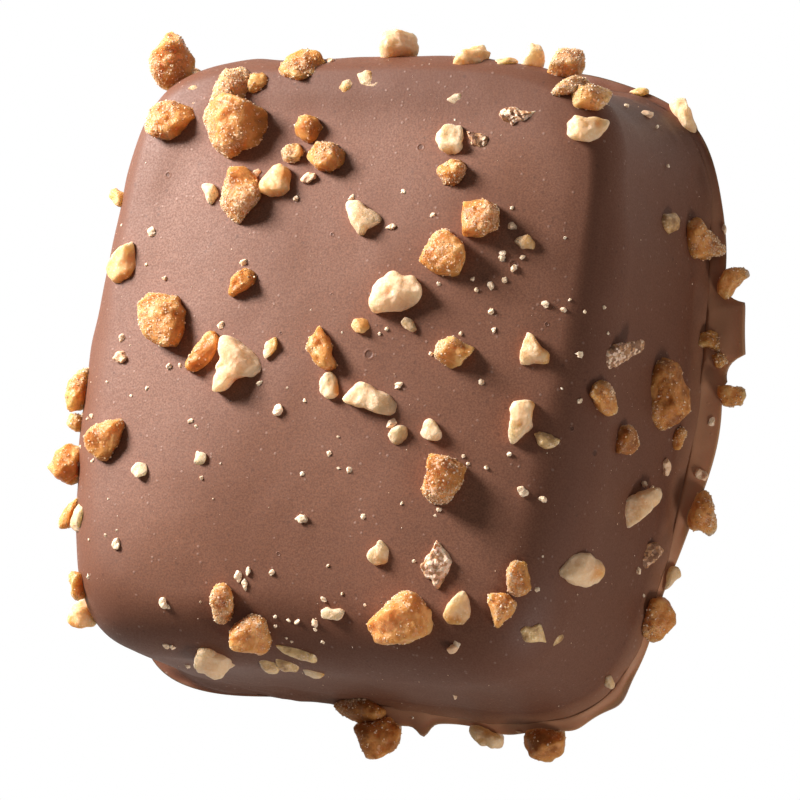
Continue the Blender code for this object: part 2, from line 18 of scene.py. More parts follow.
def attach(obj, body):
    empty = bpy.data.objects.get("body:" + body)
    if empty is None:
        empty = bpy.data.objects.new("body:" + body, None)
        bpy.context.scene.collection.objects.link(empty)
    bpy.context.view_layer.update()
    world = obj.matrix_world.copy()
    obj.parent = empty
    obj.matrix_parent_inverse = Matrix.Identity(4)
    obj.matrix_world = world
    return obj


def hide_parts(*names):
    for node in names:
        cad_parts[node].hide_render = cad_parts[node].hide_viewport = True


bl_info = {
    "name": "Chocolate praline",
    "version": (1, 0, 0),
    "blender": (4, 5, 0),
    "location": "3D View > Sidebar > Praline",
    "description": "Builds a coated praline with brittle and nut bits around its packed part",
    "category": "Object",
}

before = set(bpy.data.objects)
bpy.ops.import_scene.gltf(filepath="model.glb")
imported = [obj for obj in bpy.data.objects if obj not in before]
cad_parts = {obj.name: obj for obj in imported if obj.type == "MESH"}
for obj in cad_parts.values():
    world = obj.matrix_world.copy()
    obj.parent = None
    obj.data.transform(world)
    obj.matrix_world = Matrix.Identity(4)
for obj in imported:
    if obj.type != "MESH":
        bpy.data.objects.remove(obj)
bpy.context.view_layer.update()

MM = 0.001
NODE = "praline"
BODY = "root"

# Shape of the coat, in millimetres, as in the part. Swelling round its squarish oval: (waves round it, height
# by their cosine, height by their sine).
SWELLING = ((1, 0.32, 0.11), (2, 0.40, 0.25), (3, -0.09, -0.18), (4, 0.09, -0.06))
SQUARENESS = 5.4
# Power of the shoulder's rounding, and how much larger it and the walls' flare are at the right and the back.
SHOULDER_CURVE = 2.2
SHOULDER_TO_RIGHT = 0.14
SHOULDER_TO_BACK = -1.26
FLARE_TO_RIGHT = 0.17
FLARE_TO_BACK = 0.33
FLARE_CURVE = 1.8
# Height of the foot at its crease and at its edge.
FOOT_HEIGHT = 0.5
FOOT_EDGE = 0.28
# Lips of the foot: (turn in degrees, extra reach, half angle, sharpness). Bites: (turn, distance, radius).
LIPS = (
    (0.0, 0.85, 17.0, 2),
    (16.5, 1.3, 7.5, 8),
    (30.0, 0.40, 9.0, 2),
    (71.0, 0.45, 9.0, 2),
    (110.0, 0.35, 10.0, 2),
    (148.0, 0.30, 12.0, 2),
    (178.0, 0.50, 8.0, 2),
    (-158.0, 0.30, 9.0, 2),
    (-131.0, 0.25, 8.0, 2),
    (-106.0, -0.42, 11.0, 2),
    (-85.0, 0.50, 7.0, 2),
    (-80.2, 0.60, 1.4, 2),
    (-66.0, 0.30, 4.0, 2),
    (-55.3, 0.25, 2.5, 2),
    (-47.0, 0.30, 2.5, 2),
    (-31.0, -0.22, 6.0, 2),
)
BITES = ((25.2, 18.35, 1.15), (9.6, 17.55, 1.0))

# Half a chord for the coat's normals, in radians and steps. The net of places where a seen bit may sit: its
# sides, rows, first and last step, the step whose wall has to face the eye too, and how well they face it.
CHORD = 0.01
SAMPLE_TURNS = 360
SAMPLE_STEPS = 150
FIRST_STEP = 0.02
LAST_STEP = 3.95
WALL_STEP = 2.5
CREASE_STEP = 3.0
LEAST_FACING = 0.05

# Where the foot is painted paler, partly as thin chocolate and partly as painted light on its right and front
# side: its first step, over how many steps, and the turn in degrees towards which it is palest. Its paleness
# round the foot is the gain times the cosine of the turn from there, less the loss.
THIN_FROM = 2.85
THIN_STEPS = 0.35
THIN_AND_LIT_TURN = -30.0
THIN_GAIN = 1.5
THIN_LOSS = 0.3
MOST_THIN = 0.9
# Where its pale matt top deepens to the darker colour of its sides, which is partly painted shade on the
# walls and the back shoulder: the first step, over how many steps, the share of them that falls away at the
# back, and how much sooner it starts there.
SIDE_FROM = 0.85
SIDE_STEPS = 0.6
SIDE_BACK = 0.65
SIDE_SHIFT = 0.09

# Low relief of the coat, in millimetres and steps. Slow waves: breadth, and the step at which they end.
WAVE_SIZE = 5.0
WAVES_END = 3.2
WAVE_SEED = 11
# Runs down the walls: breadth, height, the stretch of their pattern, and the steps between which they lie.
RUN_SIZE = 3.4
RUN_HEIGHT = 0.30
RUN_PATTERN = (1.0, 1.0, 0.3)
RUNS_FROM = 1.4
RUNS_END = 3.3
RUN_SEED = 12
# Wrinkles by the foot: the same, and over how many steps they fade at both ends.
WRINKLE_SIZE = 1.6
WRINKLE_HEIGHT = 0.13
WRINKLE_PATTERN = (1.0, 1.0, 2.0)
WRINKLES_FROM = 2.6
WRINKLES_END = 4.0
WRINKLES_FADE = 0.4
WRINKLE_SEED = 13
# Rim along the back of the top: its step, its half widths inwards and outwards in steps, and its height.
RIM_STEP = 0.95
RIM_INNER = 0.085
RIM_OUTER = 0.4
RIM_HEIGHT = 0.30
# Fillet in the crease above the foot: its height, and its half widths up the wall and outwards in steps.
FILLET_HEIGHT = 0.24
FILLET_ABOVE = 0.07
FILLET_OUT = 0.45

# Rows of the coat's net on its top, shoulder, wall, foot and underside, the sides of the net, and how much
# and towards which turn, in radians, they crowd together.
COAT_ROWS = (60, 40, 56, 12, 6)
COAT_SIDES = 500
CROWDING = 0.3
CROWDED_TURN = -0.25

# Camera: degrees round, up and of its roll, millimetres to its target and of the target, the pixel where the
# target falls in the 800 by 800 image, the image's scale there, the sensor's millimetres and the nearest
# distance that it sees, in metres.
VIEW_AZIMUTH = 69.5
VIEW_ELEVATION = 66.4
VIEW_ROLL = -62.9
VIEW_DISTANCE = 330.0
VIEW_TARGET = (-0.1, -0.9, 6.6)
VIEW_MIDDLE = (368.4, 400.2)
PIXELS_PER_MM = 20.0
IMAGE_SIDE = 800
SENSOR = 36.0
CLIP_START = 0.01

# Directions of the key light and of the low card at the right, from the middle of the praline.
KEY_DIRECTION = (-0.759, 0.417, 0.500)
CARD_DIRECTION = (0.801, -0.594, 0.070)

# Bits by kind, as seen: name: (tone from 0 dark to 1 pale, crust from 0 to 1, bearing in degrees from the
# right, anticlockwise, towards which the crust thickens, corners in pixels). The crust is sugar on brittle
# and the toasted skin on a nut.
BRITTLE = {
    "corner diamond": (0.6, 0.5, 260, ((173, 31), (184, 43), (193, 58), (190, 70), (176, 79), (166, 87),
        (157, 83), (150, 66), (162, 49))),
    "top left oval": (0.55, 0.5, 160, ((148, 117), (160, 104), (178, 101), (195, 110), (199, 120),
        (186, 134), (175, 142), (158, 138), (145, 129))),
    "cluster main": (0.6, 0.4, 215, ((207, 106), (225, 97), (250, 101), (268, 113), (271, 142),
        (252, 153), (229, 160), (214, 147), (205, 118))),
    "cluster upper": (0.75, 0.75, 150, ((212, 104), (215, 88), (227, 72), (246, 69), (252, 80), (250, 98),
        (240, 110), (224, 114))),
    "cluster right lobe": (0.8, 0.4, 60, ((248, 86), (252, 73), (267, 71), (271, 84), (262, 92),
        (250, 96))),
    "back rim lump": (0.65, 0.35, 150, ((279, 70), (285, 63), (296, 54), (301, 50), (317, 53), (324, 62),
        (327, 68), (322, 75), (303, 83), (293, 81), (282, 76))),
    "ball by cluster": (0.5, 0.2, 90, ((294, 125), (300, 118), (310, 116), (318, 119), (322, 128),
        (322, 136), (316, 142), (305, 144), (296, 136))),
    "frosted by cluster": (0.7, 0.6, 180, ((281, 151), (288, 145), (300, 144), (304, 153), (299, 162),
        (286, 162))),
    "lens by cluster": (0.5, 0.3, 90, ((305, 157), (316, 142), (334, 143), (346, 151), (348, 161),
        (334, 174), (316, 168))),
    "below cluster": (0.5, 0.6, 230, ((231, 169), (243, 167), (257, 180), (262, 198), (240, 225),
        (222, 206), (224, 188))),
    "small amber": (0.45, 0.15, 90, ((227, 294), (231, 280), (236, 273), (244, 267), (252, 270),
        (260, 281), (250, 288), (240, 293), (233, 297))),
    "left big": (0.62, 0.3, 150, ((141, 303), (150, 294), (163, 292), (178, 298), (187, 312), (188, 330),
        (180, 347), (166, 348), (148, 336), (141, 324))),
    "shard by wing": (0.5, 0.25, 120, ((186, 364), (198, 345), (206, 334), (213, 331), (220, 338),
        (220, 349), (205, 367), (196, 373), (188, 371))),
    "middle diamond": (0.6, 0.25, 135, ((417, 261), (436, 232), (446, 231), (462, 244), (465, 258),
        (458, 279), (437, 275))),
    "brown under nut": (0.5, 0.6, 270, ((438, 168), (450, 161), (463, 160), (468, 170), (462, 180),
        (455, 187), (444, 182), (438, 175))),
    "trapezoid": (0.5, 0.4, 20, ((463, 200), (485, 200), (500, 211), (498, 228), (480, 239), (462, 237))),
    "sugared shard": (0.6, 0.3, 180, ((306, 348), (309, 341), (316, 332), (319, 326), (329, 338),
        (333, 350), (337, 366), (330, 370), (323, 369), (315, 361), (311, 353))),
    "middle lens": (0.75, 0.35, 150, ((435, 352), (439, 343), (446, 338), (452, 338), (463, 342),
        (475, 348), (467, 358), (460, 366), (452, 368), (442, 364), (437, 358))),
    "frosted diamond": (0.5, 0.6, 270, ((430, 455), (455, 458), (468, 467), (463, 483), (447, 505),
        (433, 503), (422, 493), (428, 472))),
    "left edge lens": (0.75, 0.2, 90, ((87, 368), (80, 371), (71, 382), (66, 398), (70, 412), (78, 410),
        (84, 402), (86, 385))),
    "left edge bump": (0.75, 0.1, 90, ((68, 418), (71, 413), (80, 415), (79, 428), (77, 433), (70, 426))),
    "left edge tip": (0.65, 0.05, 90, ((49, 466), (58, 453), (72, 441), (80, 448), (79, 474), (70, 485),
        (62, 482))),
    "left teardrop": (0.55, 0.3, 150, ((86, 437), (96, 425), (122, 418), (127, 424), (119, 446),
        (108, 461), (98, 457), (88, 450))),
    "left edge leaf": (0.6, 0.3, 180, ((59, 526), (61, 518), (68, 505), (80, 497), (74, 508), (71, 520),
        (68, 528), (62, 529))),
    "left low knob": (0.65, 0.2, 180, ((70, 576), (76, 571), (84, 573), (88, 582), (87, 592), (84, 600),
        (78, 598), (73, 590))),
    "low long": (0.6, 0.5, 200, ((212, 595), (215, 585), (224, 583), (231, 588), (234, 598), (235, 608),
        (232, 616), (224, 625), (216, 620), (213, 608))),
    "low diamond": (0.65, 0.3, 120, ((229, 645), (231, 630), (240, 622), (250, 614), (258, 612),
        (266, 615), (269, 625), (274, 643), (270, 650), (262, 656), (250, 649))),
    "low dome": (0.7, 0.25, 90, ((368, 627), (370, 619), (380, 611), (395, 595), (405, 592), (418, 594),
        (427, 601), (433, 610), (435, 625), (430, 633), (406, 642), (384, 645), (374, 643))),
    "low teardrop": (0.55, 0.5, 180, ((488, 600), (492, 593), (500, 592), (510, 595), (517, 604),
        (512, 612), (499, 628), (495, 628), (490, 608))),
    "low frosted": (0.6, 0.6, 180, ((507, 573), (510, 563), (517, 561), (525, 562), (529, 575),
        (530, 587), (526, 594), (516, 596), (508, 589))),
    "hanging upper": (0.35, 0.3, 100, ((335, 705), (344, 700), (356, 696), (366, 697), (378, 702),
        (387, 710), (383, 718), (375, 722), (362, 726), (350, 722), (340, 714))),
    "hanging lower": (0.45, 0.2, 100, ((354, 726), (360, 740), (367, 759), (371, 761), (388, 753),
        (398, 747), (401, 740), (401, 728), (390, 718), (370, 722))),
    "hanging ball": (0.35, 0.25, 90, ((526, 732), (535, 730), (567, 729), (566, 740), (565, 750),
        (550, 763), (540, 760), (530, 755), (525, 747))),
    "arrow": (0.5, 0.35, 330, ((681, 221), (697, 216), (706, 229), (724, 250), (720, 255), (690, 260),
        (679, 247))),
    "antler": (0.65, 0.35, 90, ((716, 288), (721, 278), (726, 270), (738, 268), (750, 270), (751, 278),
        (742, 281), (737, 287), (733, 295), (726, 300), (718, 296))),
    "crumbly upper": (0.6, 0.5, 0, ((694, 339), (700, 332), (710, 330), (719, 335), (722, 345),
        (719, 354), (705, 347), (698, 347))),
    "crumbly lower": (0.6, 0.4, 0, ((711, 355), (718, 352), (726, 355), (728, 361), (722, 367),
        (716, 369), (713, 362))),
    "right edge gold": (0.7, 0.2, 0, ((717, 388), (722, 385), (732, 387), (742, 388), (745, 397),
        (743, 405), (733, 407), (724, 405), (718, 397))),
    "pink wall": (0.55, 0.3, 45, ((588, 395), (592, 386), (599, 380), (607, 384), (613, 393), (619, 406),
        (617, 414), (609, 416), (601, 413), (594, 405))),
    "big dark amber": (0.3, 0.3, 200, ((640, 395), (641, 385), (645, 370), (652, 361), (664, 358),
        (673, 361), (678, 374), (683, 388), (686, 400), (685, 415), (676, 424), (664, 431), (652, 427),
        (645, 420))),
    "dark wall": (0.25, 0.3, 90, ((608, 440), (613, 430), (621, 425), (632, 427), (637, 438), (637, 450),
        (628, 454), (612, 453))),
    "brown wall": (0.4, 0.3, 90, ((669, 446), (670, 437), (676, 429), (683, 427), (686, 432), (682, 442),
        (678, 449), (670, 450))),
    "right low gold": (0.65, 0.25, 0, ((687, 522), (689, 512), (693, 502), (700, 493), (706, 490),
        (712, 498), (714, 510), (718, 522), (716, 534), (712, 538), (703, 533), (690, 528))),
    "low right orange": (0.55, 0.25, 200, ((641, 622), (645, 612), (650, 600), (660, 596), (667, 600),
        (675, 613), (677, 624), (670, 632), (660, 640), (653, 644), (646, 640))),
    "rim frosted": (0.65, 0.7, 120, ((546, 74), (552, 62), (558, 53), (566, 50), (577, 51), (584, 59),
        (584, 68), (577, 76), (566, 80), (552, 80))),
    "rim frosted low": (0.6, 0.8, 160, ((552, 92), (558, 86), (568, 78), (580, 76), (589, 84), (588, 90),
        (575, 94), (560, 97), (551, 96))),
    "rim gold": (0.7, 0.4, 90, ((572, 97), (575, 89), (586, 86), (598, 88), (607, 89), (611, 92),
        (609, 101), (602, 108), (594, 114), (580, 114), (572, 108))),
}
NUT = {
    "rim kidney left": (0.8, 0.2, 200, ((338, 86), (341, 80), (350, 73), (356, 71), (362, 75), (362, 90),
        (350, 94), (343, 96), (339, 92))),
    "rim kidney right": (0.85, 0.2, 0, ((356, 72), (364, 70), (374, 72), (381, 80), (384, 88), (378, 94),
        (370, 92), (362, 88))),
    "rim block": (0.85, 0.1, 270, ((378, 43), (386, 37), (396, 33), (412, 33), (417, 38), (420, 48),
        (416, 55), (400, 58), (382, 60), (379, 52))),
    "rim golden": (0.5, 0.2, 180, ((451, 68), (456, 58), (473, 48), (484, 45), (491, 55), (480, 71),
        (462, 72))),
    "rim flat tan": (0.4, 0.2, 0, ((494, 59), (502, 57), (514, 59), (518, 62), (510, 66), (498, 67))),
    "rim upright": (0.75, 0.1, 270, ((528, 46), (532, 42), (541, 46), (543, 53), (546, 66), (536, 68),
        (526, 66), (521, 62), (527, 57))),
    "top small": (0.85, 0.1, 0, ((447, 100), (454, 94), (462, 93), (467, 102), (464, 106), (455, 106))),
    "hexagon": (0.95, 0.1, 180, ((435, 140), (438, 132), (444, 126), (452, 123), (461, 127), (465, 138),
        (466, 144), (460, 154), (452, 158), (445, 154), (440, 147))),
    "rim wedge": (0.75, 0.1, 0, ((566, 124), (571, 117), (580, 116), (598, 118), (611, 121), (605, 132),
        (596, 140), (590, 143), (575, 141), (567, 135))),
    "rim tan lens": (0.3, 0.2, 0, ((628, 92), (638, 88), (648, 89), (650, 94), (643, 97))),
    "back corner block": (0.7, 0.1, 270, ((669, 103), (683, 97), (686, 98), (692, 115), (699, 131),
        (694, 134), (684, 131), (674, 120))),
    "left edge tan": (0.25, 0.3, 0, ((109, 196), (111, 189), (116, 187), (122, 192), (125, 200),
        (122, 207), (116, 205))),
    "left tan drop": (0.35, 0.3, 270, ((133, 241), (137, 252), (138, 263), (133, 275), (124, 284),
        (115, 284), (107, 276), (105, 267), (110, 257), (118, 251), (128, 246))),
    "top left tan": (0.4, 0.2, 0, ((184, 92), (190, 87), (201, 86), (203, 91), (195, 98), (188, 98))),
    "white by cluster": (1.0, 0.0, 0, ((202, 187), (206, 183), (214, 184), (218, 190), (219, 197),
        (215, 204), (210, 205), (205, 197))),
    "round tan": (0.5, 0.25, 0, ((257, 186), (262, 175), (270, 166), (279, 165), (288, 168), (292, 178),
        (290, 192), (280, 199), (268, 197), (258, 190))),
    "prong shard": (1.0, 0.0, 290, ((344, 203), (349, 199), (359, 200), (370, 209), (380, 216),
        (381, 222), (368, 229), (366, 237), (360, 238), (354, 228))),
    "big bean": (0.9, 0.05, 230, ((368, 299), (372, 288), (380, 277), (392, 271), (403, 276), (413, 276),
        (421, 284), (422, 292), (416, 304), (405, 311), (388, 312), (374, 314), (369, 307))),
    "wing": (0.95, 0.1, 300, ((220, 338), (226, 335), (243, 343), (258, 354), (262, 363), (263, 372),
        (256, 378), (246, 377), (236, 380), (228, 390), (218, 393), (214, 391), (215, 378), (218, 366),
        (224, 356), (221, 347))),
    "tan by wing": (0.5, 0.2, 0, ((262, 350), (267, 342), (276, 336), (278, 345), (277, 350),
        (265, 359))),
    "low of shard": (0.85, 0.1, 0, ((319, 391), (320, 380), (325, 373), (331, 370), (337, 376),
        (341, 385), (340, 394), (333, 399), (326, 399))),
    "long nut": (0.9, 0.1, 100, ((342, 399), (348, 391), (353, 384), (361, 380), (370, 385), (388, 395),
        (402, 404), (398, 411), (390, 416), (368, 410), (347, 403))),
    "orange heart": (0.9, 0.1, 270, ((388, 436), (391, 428), (398, 425), (405, 427), (409, 434),
        (406, 442), (398, 446), (391, 443))),
    "pebble": (0.85, 0.1, 0, ((421, 431), (424, 423), (429, 418), (436, 423), (442, 432), (443, 438),
        (438, 441), (430, 440), (423, 437))),
    "tan oval": (0.2, 0.5, 0, ((350, 325), (354, 319), (361, 317), (368, 320), (370, 328), (364, 334),
        (355, 333))),
    "two tone wedge": (0.7, 0.3, 180, ((401, 322), (406, 317), (412, 320), (418, 328), (419, 333),
        (414, 334), (405, 329))),
    "triangle": (0.75, 0.2, 0, ((527, 332), (533, 334), (538, 342), (550, 355), (547, 363), (538, 365),
        (520, 366), (519, 356), (524, 342))),
    "tooth": (0.85, 0.1, 0, ((508, 406), (513, 402), (528, 400), (534, 403), (533, 418), (532, 432),
        (521, 438), (516, 446), (510, 446), (508, 438), (510, 426), (512, 416))),
    "small tan": (0.5, 0.2, 0, ((514, 241), (520, 235), (529, 236), (536, 243), (533, 249), (522, 249))),
    "left white crumb": (1.0, 0.0, 0, ((131, 469), (136, 463), (146, 462), (149, 469), (146, 476),
        (136, 478))),
    "left block": (1.0, 0.05, 0, ((193, 463), (196, 450), (207, 453), (207, 457), (202, 466))),
    "frosted drop": (0.85, 0.1, 270, ((380, 538), (385, 543), (389, 550), (391, 557), (388, 564),
        (378, 566), (371, 563), (368, 556), (370, 550), (375, 544))),
    "left edge lobe": (0.8, 0.1, 180, ((69, 527), (72, 515), (78, 504), (85, 502), (86, 512), (84, 525),
        (80, 533), (73, 530))),
    "left low nut": (0.55, 0.2, 270, ((79, 599), (84, 603), (88, 610), (96, 624), (92, 627), (80, 627),
        (70, 623), (68, 617), (71, 607))),
    "wall nut orange top": (0.95, 0.1, 90, ((196, 668), (196, 655), (200, 646), (207, 643), (220, 641),
        (230, 648), (238, 655), (237, 664), (228, 670), (222, 678), (214, 680), (205, 677), (198, 672))),
    "wall small lens": (0.8, 0.1, 0, ((301, 665), (310, 664), (320, 668), (326, 674), (320, 678),
        (310, 678), (303, 672))),
    "low block": (1.0, 0.05, 90, ((322, 609), (326, 606), (332, 609), (345, 608), (344, 615), (339, 620),
        (331, 619), (322, 617))),
    "golden cone": (0.55, 0.2, 250, ((442, 617), (446, 609), (454, 598), (460, 590), (465, 589),
        (469, 597), (471, 608), (470, 618), (464, 627), (452, 625))),
    "wall lens": (0.85, 0.1, 0, ((555, 568), (563, 562), (569, 555), (580, 552), (592, 554), (599, 560),
        (605, 568), (606, 575), (598, 582), (587, 587), (575, 585), (563, 579), (557, 574))),
    "wall wedge": (0.7, 0.1, 180, ((612, 500), (640, 492), (655, 488), (662, 488), (663, 492), (658, 500),
        (648, 510), (636, 521), (626, 527), (617, 520), (613, 508))),
    "hanging lens": (0.65, 0.1, 90, ((468, 726), (475, 726), (486, 730), (497, 734), (503, 738),
        (505, 746), (503, 749), (492, 748), (480, 744), (470, 737))),
    "right low thin": (0.6, 0.1, 0, ((667, 575), (669, 568), (674, 566), (679, 570), (682, 577),
        (675, 581), (670, 588), (664, 591))),
    "corner chip": (0.6, 0.2, 0, ((604, 675), (610, 674), (613, 680), (615, 689), (610, 689),
        (605, 686))),
}
CLEAR = {
    "translucent bit": (0.5, 0.1, 0, ((533, 432), (541, 431), (551, 434), (560, 440), (556, 448),
        (546, 449), (538, 445))),
    "half sunk": (0.8, 0.2, 0, ((518, 629), (523, 624), (532, 625), (541, 624), (544, 632), (547, 644),
        (540, 641), (525, 642), (520, 635))),
    "grey half sunk": (0.3, 0.1, 0, ((551, 640), (556, 633), (561, 629), (565, 637), (562, 642),
        (553, 646))),
    "clear olive left": (0.6, 0.4, 0, ((258, 658), (262, 652), (270, 650), (277, 655), (281, 665),
        (278, 675), (268, 676), (262, 668))),
    "clear olive middle": (0.5, 0.2, 0, ((275, 655), (290, 653), (300, 660), (297, 672), (285, 672),
        (278, 668))),
    "clear olive arm": (0.8, 0.3, 0, ((275, 645), (290, 645), (305, 649), (317, 652), (320, 658),
        (316, 663), (305, 661), (290, 657), (280, 652))),
    "dark lump": (0.35, 0.2, 0, ((657, 220), (664, 214), (676, 213), (682, 220), (679, 229), (670, 235),
        (662, 228))),
}
FLAKES = {
    "crumb patch top": (0.5, 0.3, 0, ((190, 103), (199, 97), (214, 88), (215, 95), (206, 103),
        (196, 108))),
    "flaky patch": (0.4, 0.4, 0, ((499, 112), (507, 107), (516, 108), (527, 113), (541, 110), (535, 116),
        (529, 122), (520, 122), (511, 128), (502, 120))),
    "crumb patch right": (0.4, 0.3, 0, ((467, 131), (475, 133), (485, 137), (491, 136), (491, 142),
        (482, 149), (473, 145), (469, 138))),
    "silvery bar": (0.45, 0.6, 0, ((597, 355), (600, 350), (615, 346), (640, 340), (645, 347), (640, 353),
        (628, 357), (615, 367), (604, 372), (598, 364))),
    "silver flake": (0.9, 0.8, 0, ((436, 542), (441, 547), (449, 557), (450, 567), (446, 577), (440, 587),
        (436, 589), (431, 580), (424, 577), (421, 567), (426, 560), (432, 552))),
    "brown crumb": (0.25, 0.2, 0, ((638, 555), (645, 545), (655, 543), (662, 548), (659, 557), (652, 563),
        (645, 568), (638, 562))),
}
# Small grains with a shape of their own: name: (tone, corners in pixels).
SMALL = {
    "back rim tan": (0.3, ((250, 66), (258, 64), (268, 65), (262, 68))),
    "corner tan": (0.2, ((190, 69), (196, 68), (202, 71))),
    "by back rim": (0.6, ((326, 60), (332, 58), (336, 62), (333, 66), (327, 66))),
    "under lens": (0.5, ((301, 179), (308, 172), (316, 173), (318, 178), (308, 184), (302, 183))),
    "by round tan": (0.4, ((253, 171), (260, 168), (262, 173), (258, 178), (253, 177))),
    "by prongs": (0.8, ((385, 228), (393, 223), (397, 226), (392, 230))),
    "rim white": (0.9, ((508, 71), (515, 77), (510, 79))),
    "rim crumb": (0.5, ((638, 114), (644, 110), (655, 112), (654, 117), (642, 116))),
    "left white": (0.95, ((147, 231), (152, 226), (159, 231), (156, 237), (149, 237))),
    "right edge white": (0.8, ((721, 228), (724, 222), (727, 229), (725, 236))),
    "left tan": (0.5, ((112, 359), (117, 352), (124, 350), (129, 355), (127, 362), (122, 364),
        (116, 362))),
    "left low white": (0.95, ((112, 544), (114, 538), (119, 537), (121, 544), (119, 550), (113, 549))),
    "middle cream": (0.8, ((272, 413), (275, 405), (280, 403), (284, 410), (281, 416), (274, 416))),
    "right cream": (0.8, ((707, 425), (710, 418), (714, 417), (715, 428), (710, 427))),
    "wall crumb": (0.5, ((661, 460), (667, 458), (671, 466), (669, 476), (664, 475))),
    "right crumb": (0.6, ((694, 471), (699, 468), (706, 471), (710, 476), (706, 482), (696, 478))),
    "wall white": (0.8, ((636, 571), (638, 566), (641, 570), (640, 575))),
    "heart crumb": (0.8, ((386, 428), (389, 421), (395, 418), (398, 423), (393, 428))),
    "middle white": (0.95, ((517, 487), (523, 486), (529, 492), (527, 497), (521, 496))),
    "low white": (0.95, ((294, 519), (300, 513), (306, 515), (309, 520), (307, 523), (300, 524))),
    "triple upper": (0.9, ((234, 577), (237, 570), (242, 573), (243, 580), (238, 583))),
    "triple right": (0.9, ((245, 572), (248, 566), (251, 571), (247, 577))),
    "triple low": (0.9, ((241, 584), (245, 578), (248, 584), (246, 592))),
    "pair": (0.95, ((157, 603), (161, 597), (165, 598), (168, 607), (163, 609))),
    "hanging cream": (0.6, ((452, 692), (458, 697), (455, 701))),
    "hem cream": (0.5, ((515, 731), (522, 731), (524, 733), (520, 734))),
    "dark ring": (0.3, ((446, 648), (452, 644), (459, 641), (460, 646), (455, 654), (449, 655))),
}
# Grains too small for an outline: (across, down, breadth), all in pixels.
GRAINS = (
    (272, 99, 5), (276, 85, 7), (405, 192, 5), (431, 218, 6), (436, 283, 5), (144, 265, 4), (164, 277, 6),
    (121, 227, 4), (121, 338, 7), (167, 367, 5), (171, 365, 6), (179, 365, 4), (106, 380, 3), (133, 397, 3),
    (149, 387, 4), (83, 415, 5), (93, 417, 6), (88, 420, 4), (82, 448, 4), (80, 465, 5), (91, 460, 4),
    (95, 461, 3), (106, 536, 4), (117, 529, 3), (107, 497, 3), (90, 540, 3), (89, 577, 5), (224, 326, 7),
    (286, 390, 4), (262, 384, 6), (190, 421, 6), (199, 427, 5), (311, 310, 3), (305, 400, 4), (388, 329, 4),
    (380, 334, 4), (397, 384, 7), (462, 333, 6), (429, 353, 4), (340, 333, 3), (338, 435, 3), (490, 311, 7),
    (494, 329, 5), (477, 76, 5), (500, 96, 4), (540, 93, 4), (482, 112, 4), (454, 119, 4), (626, 105, 4),
    (643, 103, 3), (657, 125, 3), (668, 166, 3), (295, 200, 6), (512, 225, 9), (491, 285, 8), (477, 291, 6),
    (470, 280, 4), (502, 280, 5), (509, 209, 4), (565, 237, 4), (544, 306, 7), (564, 310, 6), (570, 301, 4),
    (580, 352, 7), (480, 380, 6), (561, 389, 3), (579, 403, 7), (604, 306, 4), (584, 312, 4), (608, 333, 3),
    (658, 311, 5), (667, 316, 4), (693, 367, 4), (680, 353, 4), (709, 380, 4), (690, 449, 3), (645, 486, 6),
    (652, 488, 4), (329, 452, 7), (338, 467, 4), (349, 469, 6), (364, 515, 6), (401, 501, 4), (433, 514, 5),
    (441, 510, 5), (464, 457, 4), (467, 465, 4), (414, 562, 4), (329, 567, 4), (509, 453, 5), (485, 466, 4),
    (541, 556, 4), (201, 480, 6), (272, 572, 6), (301, 477, 4), (222, 463, 3), (200, 602, 4), (276, 617, 5),
    (278, 625, 4), (313, 624, 7), (317, 630, 4), (288, 637, 4), (290, 641, 4), (290, 620, 4), (295, 622, 5),
    (321, 642, 4), (322, 599, 6), (344, 593, 4), (366, 604, 5), (413, 717, 6), (461, 719, 4), (468, 713, 4),
    (644, 597, 4), (168, 646, 6), (173, 647, 5), (596, 701, 6), (544, 498, 7), (188, 667, 5), (538, 588, 7),
    (246, 263, 8), (353, 196, 7), (168, 608, 5), (457, 644, 7), (503, 253, 8), (505, 260, 6), (514, 271, 7),
    (520, 258, 6), (361, 67, 6), (682, 481, 3),
)

# How much broader a grain is made than it is seen, and the height of its middle as a share of its breadth.
GRAIN_SPREAD = 1.12
SUNK = -0.1

# Burst bubbles and pinholes in the coat: name: (across, down, breadth), in pixels.
PITS = {
    "by top small nut": (420, 144, 7),
    "top middle": (332, 231, 4),
    "above small amber": (332, 291, 3),
    "right of small amber": (279, 333, 3),
    "middle ring": (370, 355, 9),
    "left of block": (231, 402, 3),
    "right of triangle": (549, 325, 4),
    "wall ring": (595, 453, 7),
    "low middle": (277, 556, 4),
    "left top": (169, 178, 6),
    "below tooth": (571, 427, 5),
    "above dome": (382, 602, 3),
    "right wall": (673, 260, 4),
    "crater": (512, 262, 9),
}

# Distance in radii at which no pit shows.
FAR_AWAY = 9.0



class Kind(NamedTuple):
    """How the bits of a kind are shaped. Shares are of a bit's breadth unless they say otherwise."""

    rise: float  # share that it stands above the coat
    fullness: float  # power that makes its dome square
    columns: int  # columns of its net for a breadth of nothing
    facets: int  # number of facets
    top_cut: float  # depth of the facet on top, as a share of its reach
    softness: float  # rounding of the facets' edges, as a share
    lumps: tuple  # size and height of its lumps, as shares
    grain: tuple  # size and height of its grain, in millimetres
    granules: tuple  # size and height of its crust's granules, in millimetres


KINDS = {
    "brittle": Kind(0.72, 2.7, 14, 6, 0.25, 0.03, (0.5, 0.055), (0.34, 0.075), (0.26, 0.085)),
    "nut": Kind(0.60, 3.2, 14, 7, 0.34, 0.03, (0.5, 0.05), (0.36, 0.075), (0.2, 0.02)),
    "clear": Kind(0.34, 2.4, 20, 4, 0.2, 0.05, (0.5, 0.05), (0.3, 0.05), (0.3, 0.05)),
    "flakes": Kind(0.28, 3.0, 26, 4, 0.2, 0.02, (0.3, 0.06), (0.25, 0.09), (0.3, 0.1)),
    "small": Kind(0.6, 2.5, 12, 5, 0.3, 0.02, (0.5, 0.1), (0.2, 0.03), (0.2, 0.0)),
}
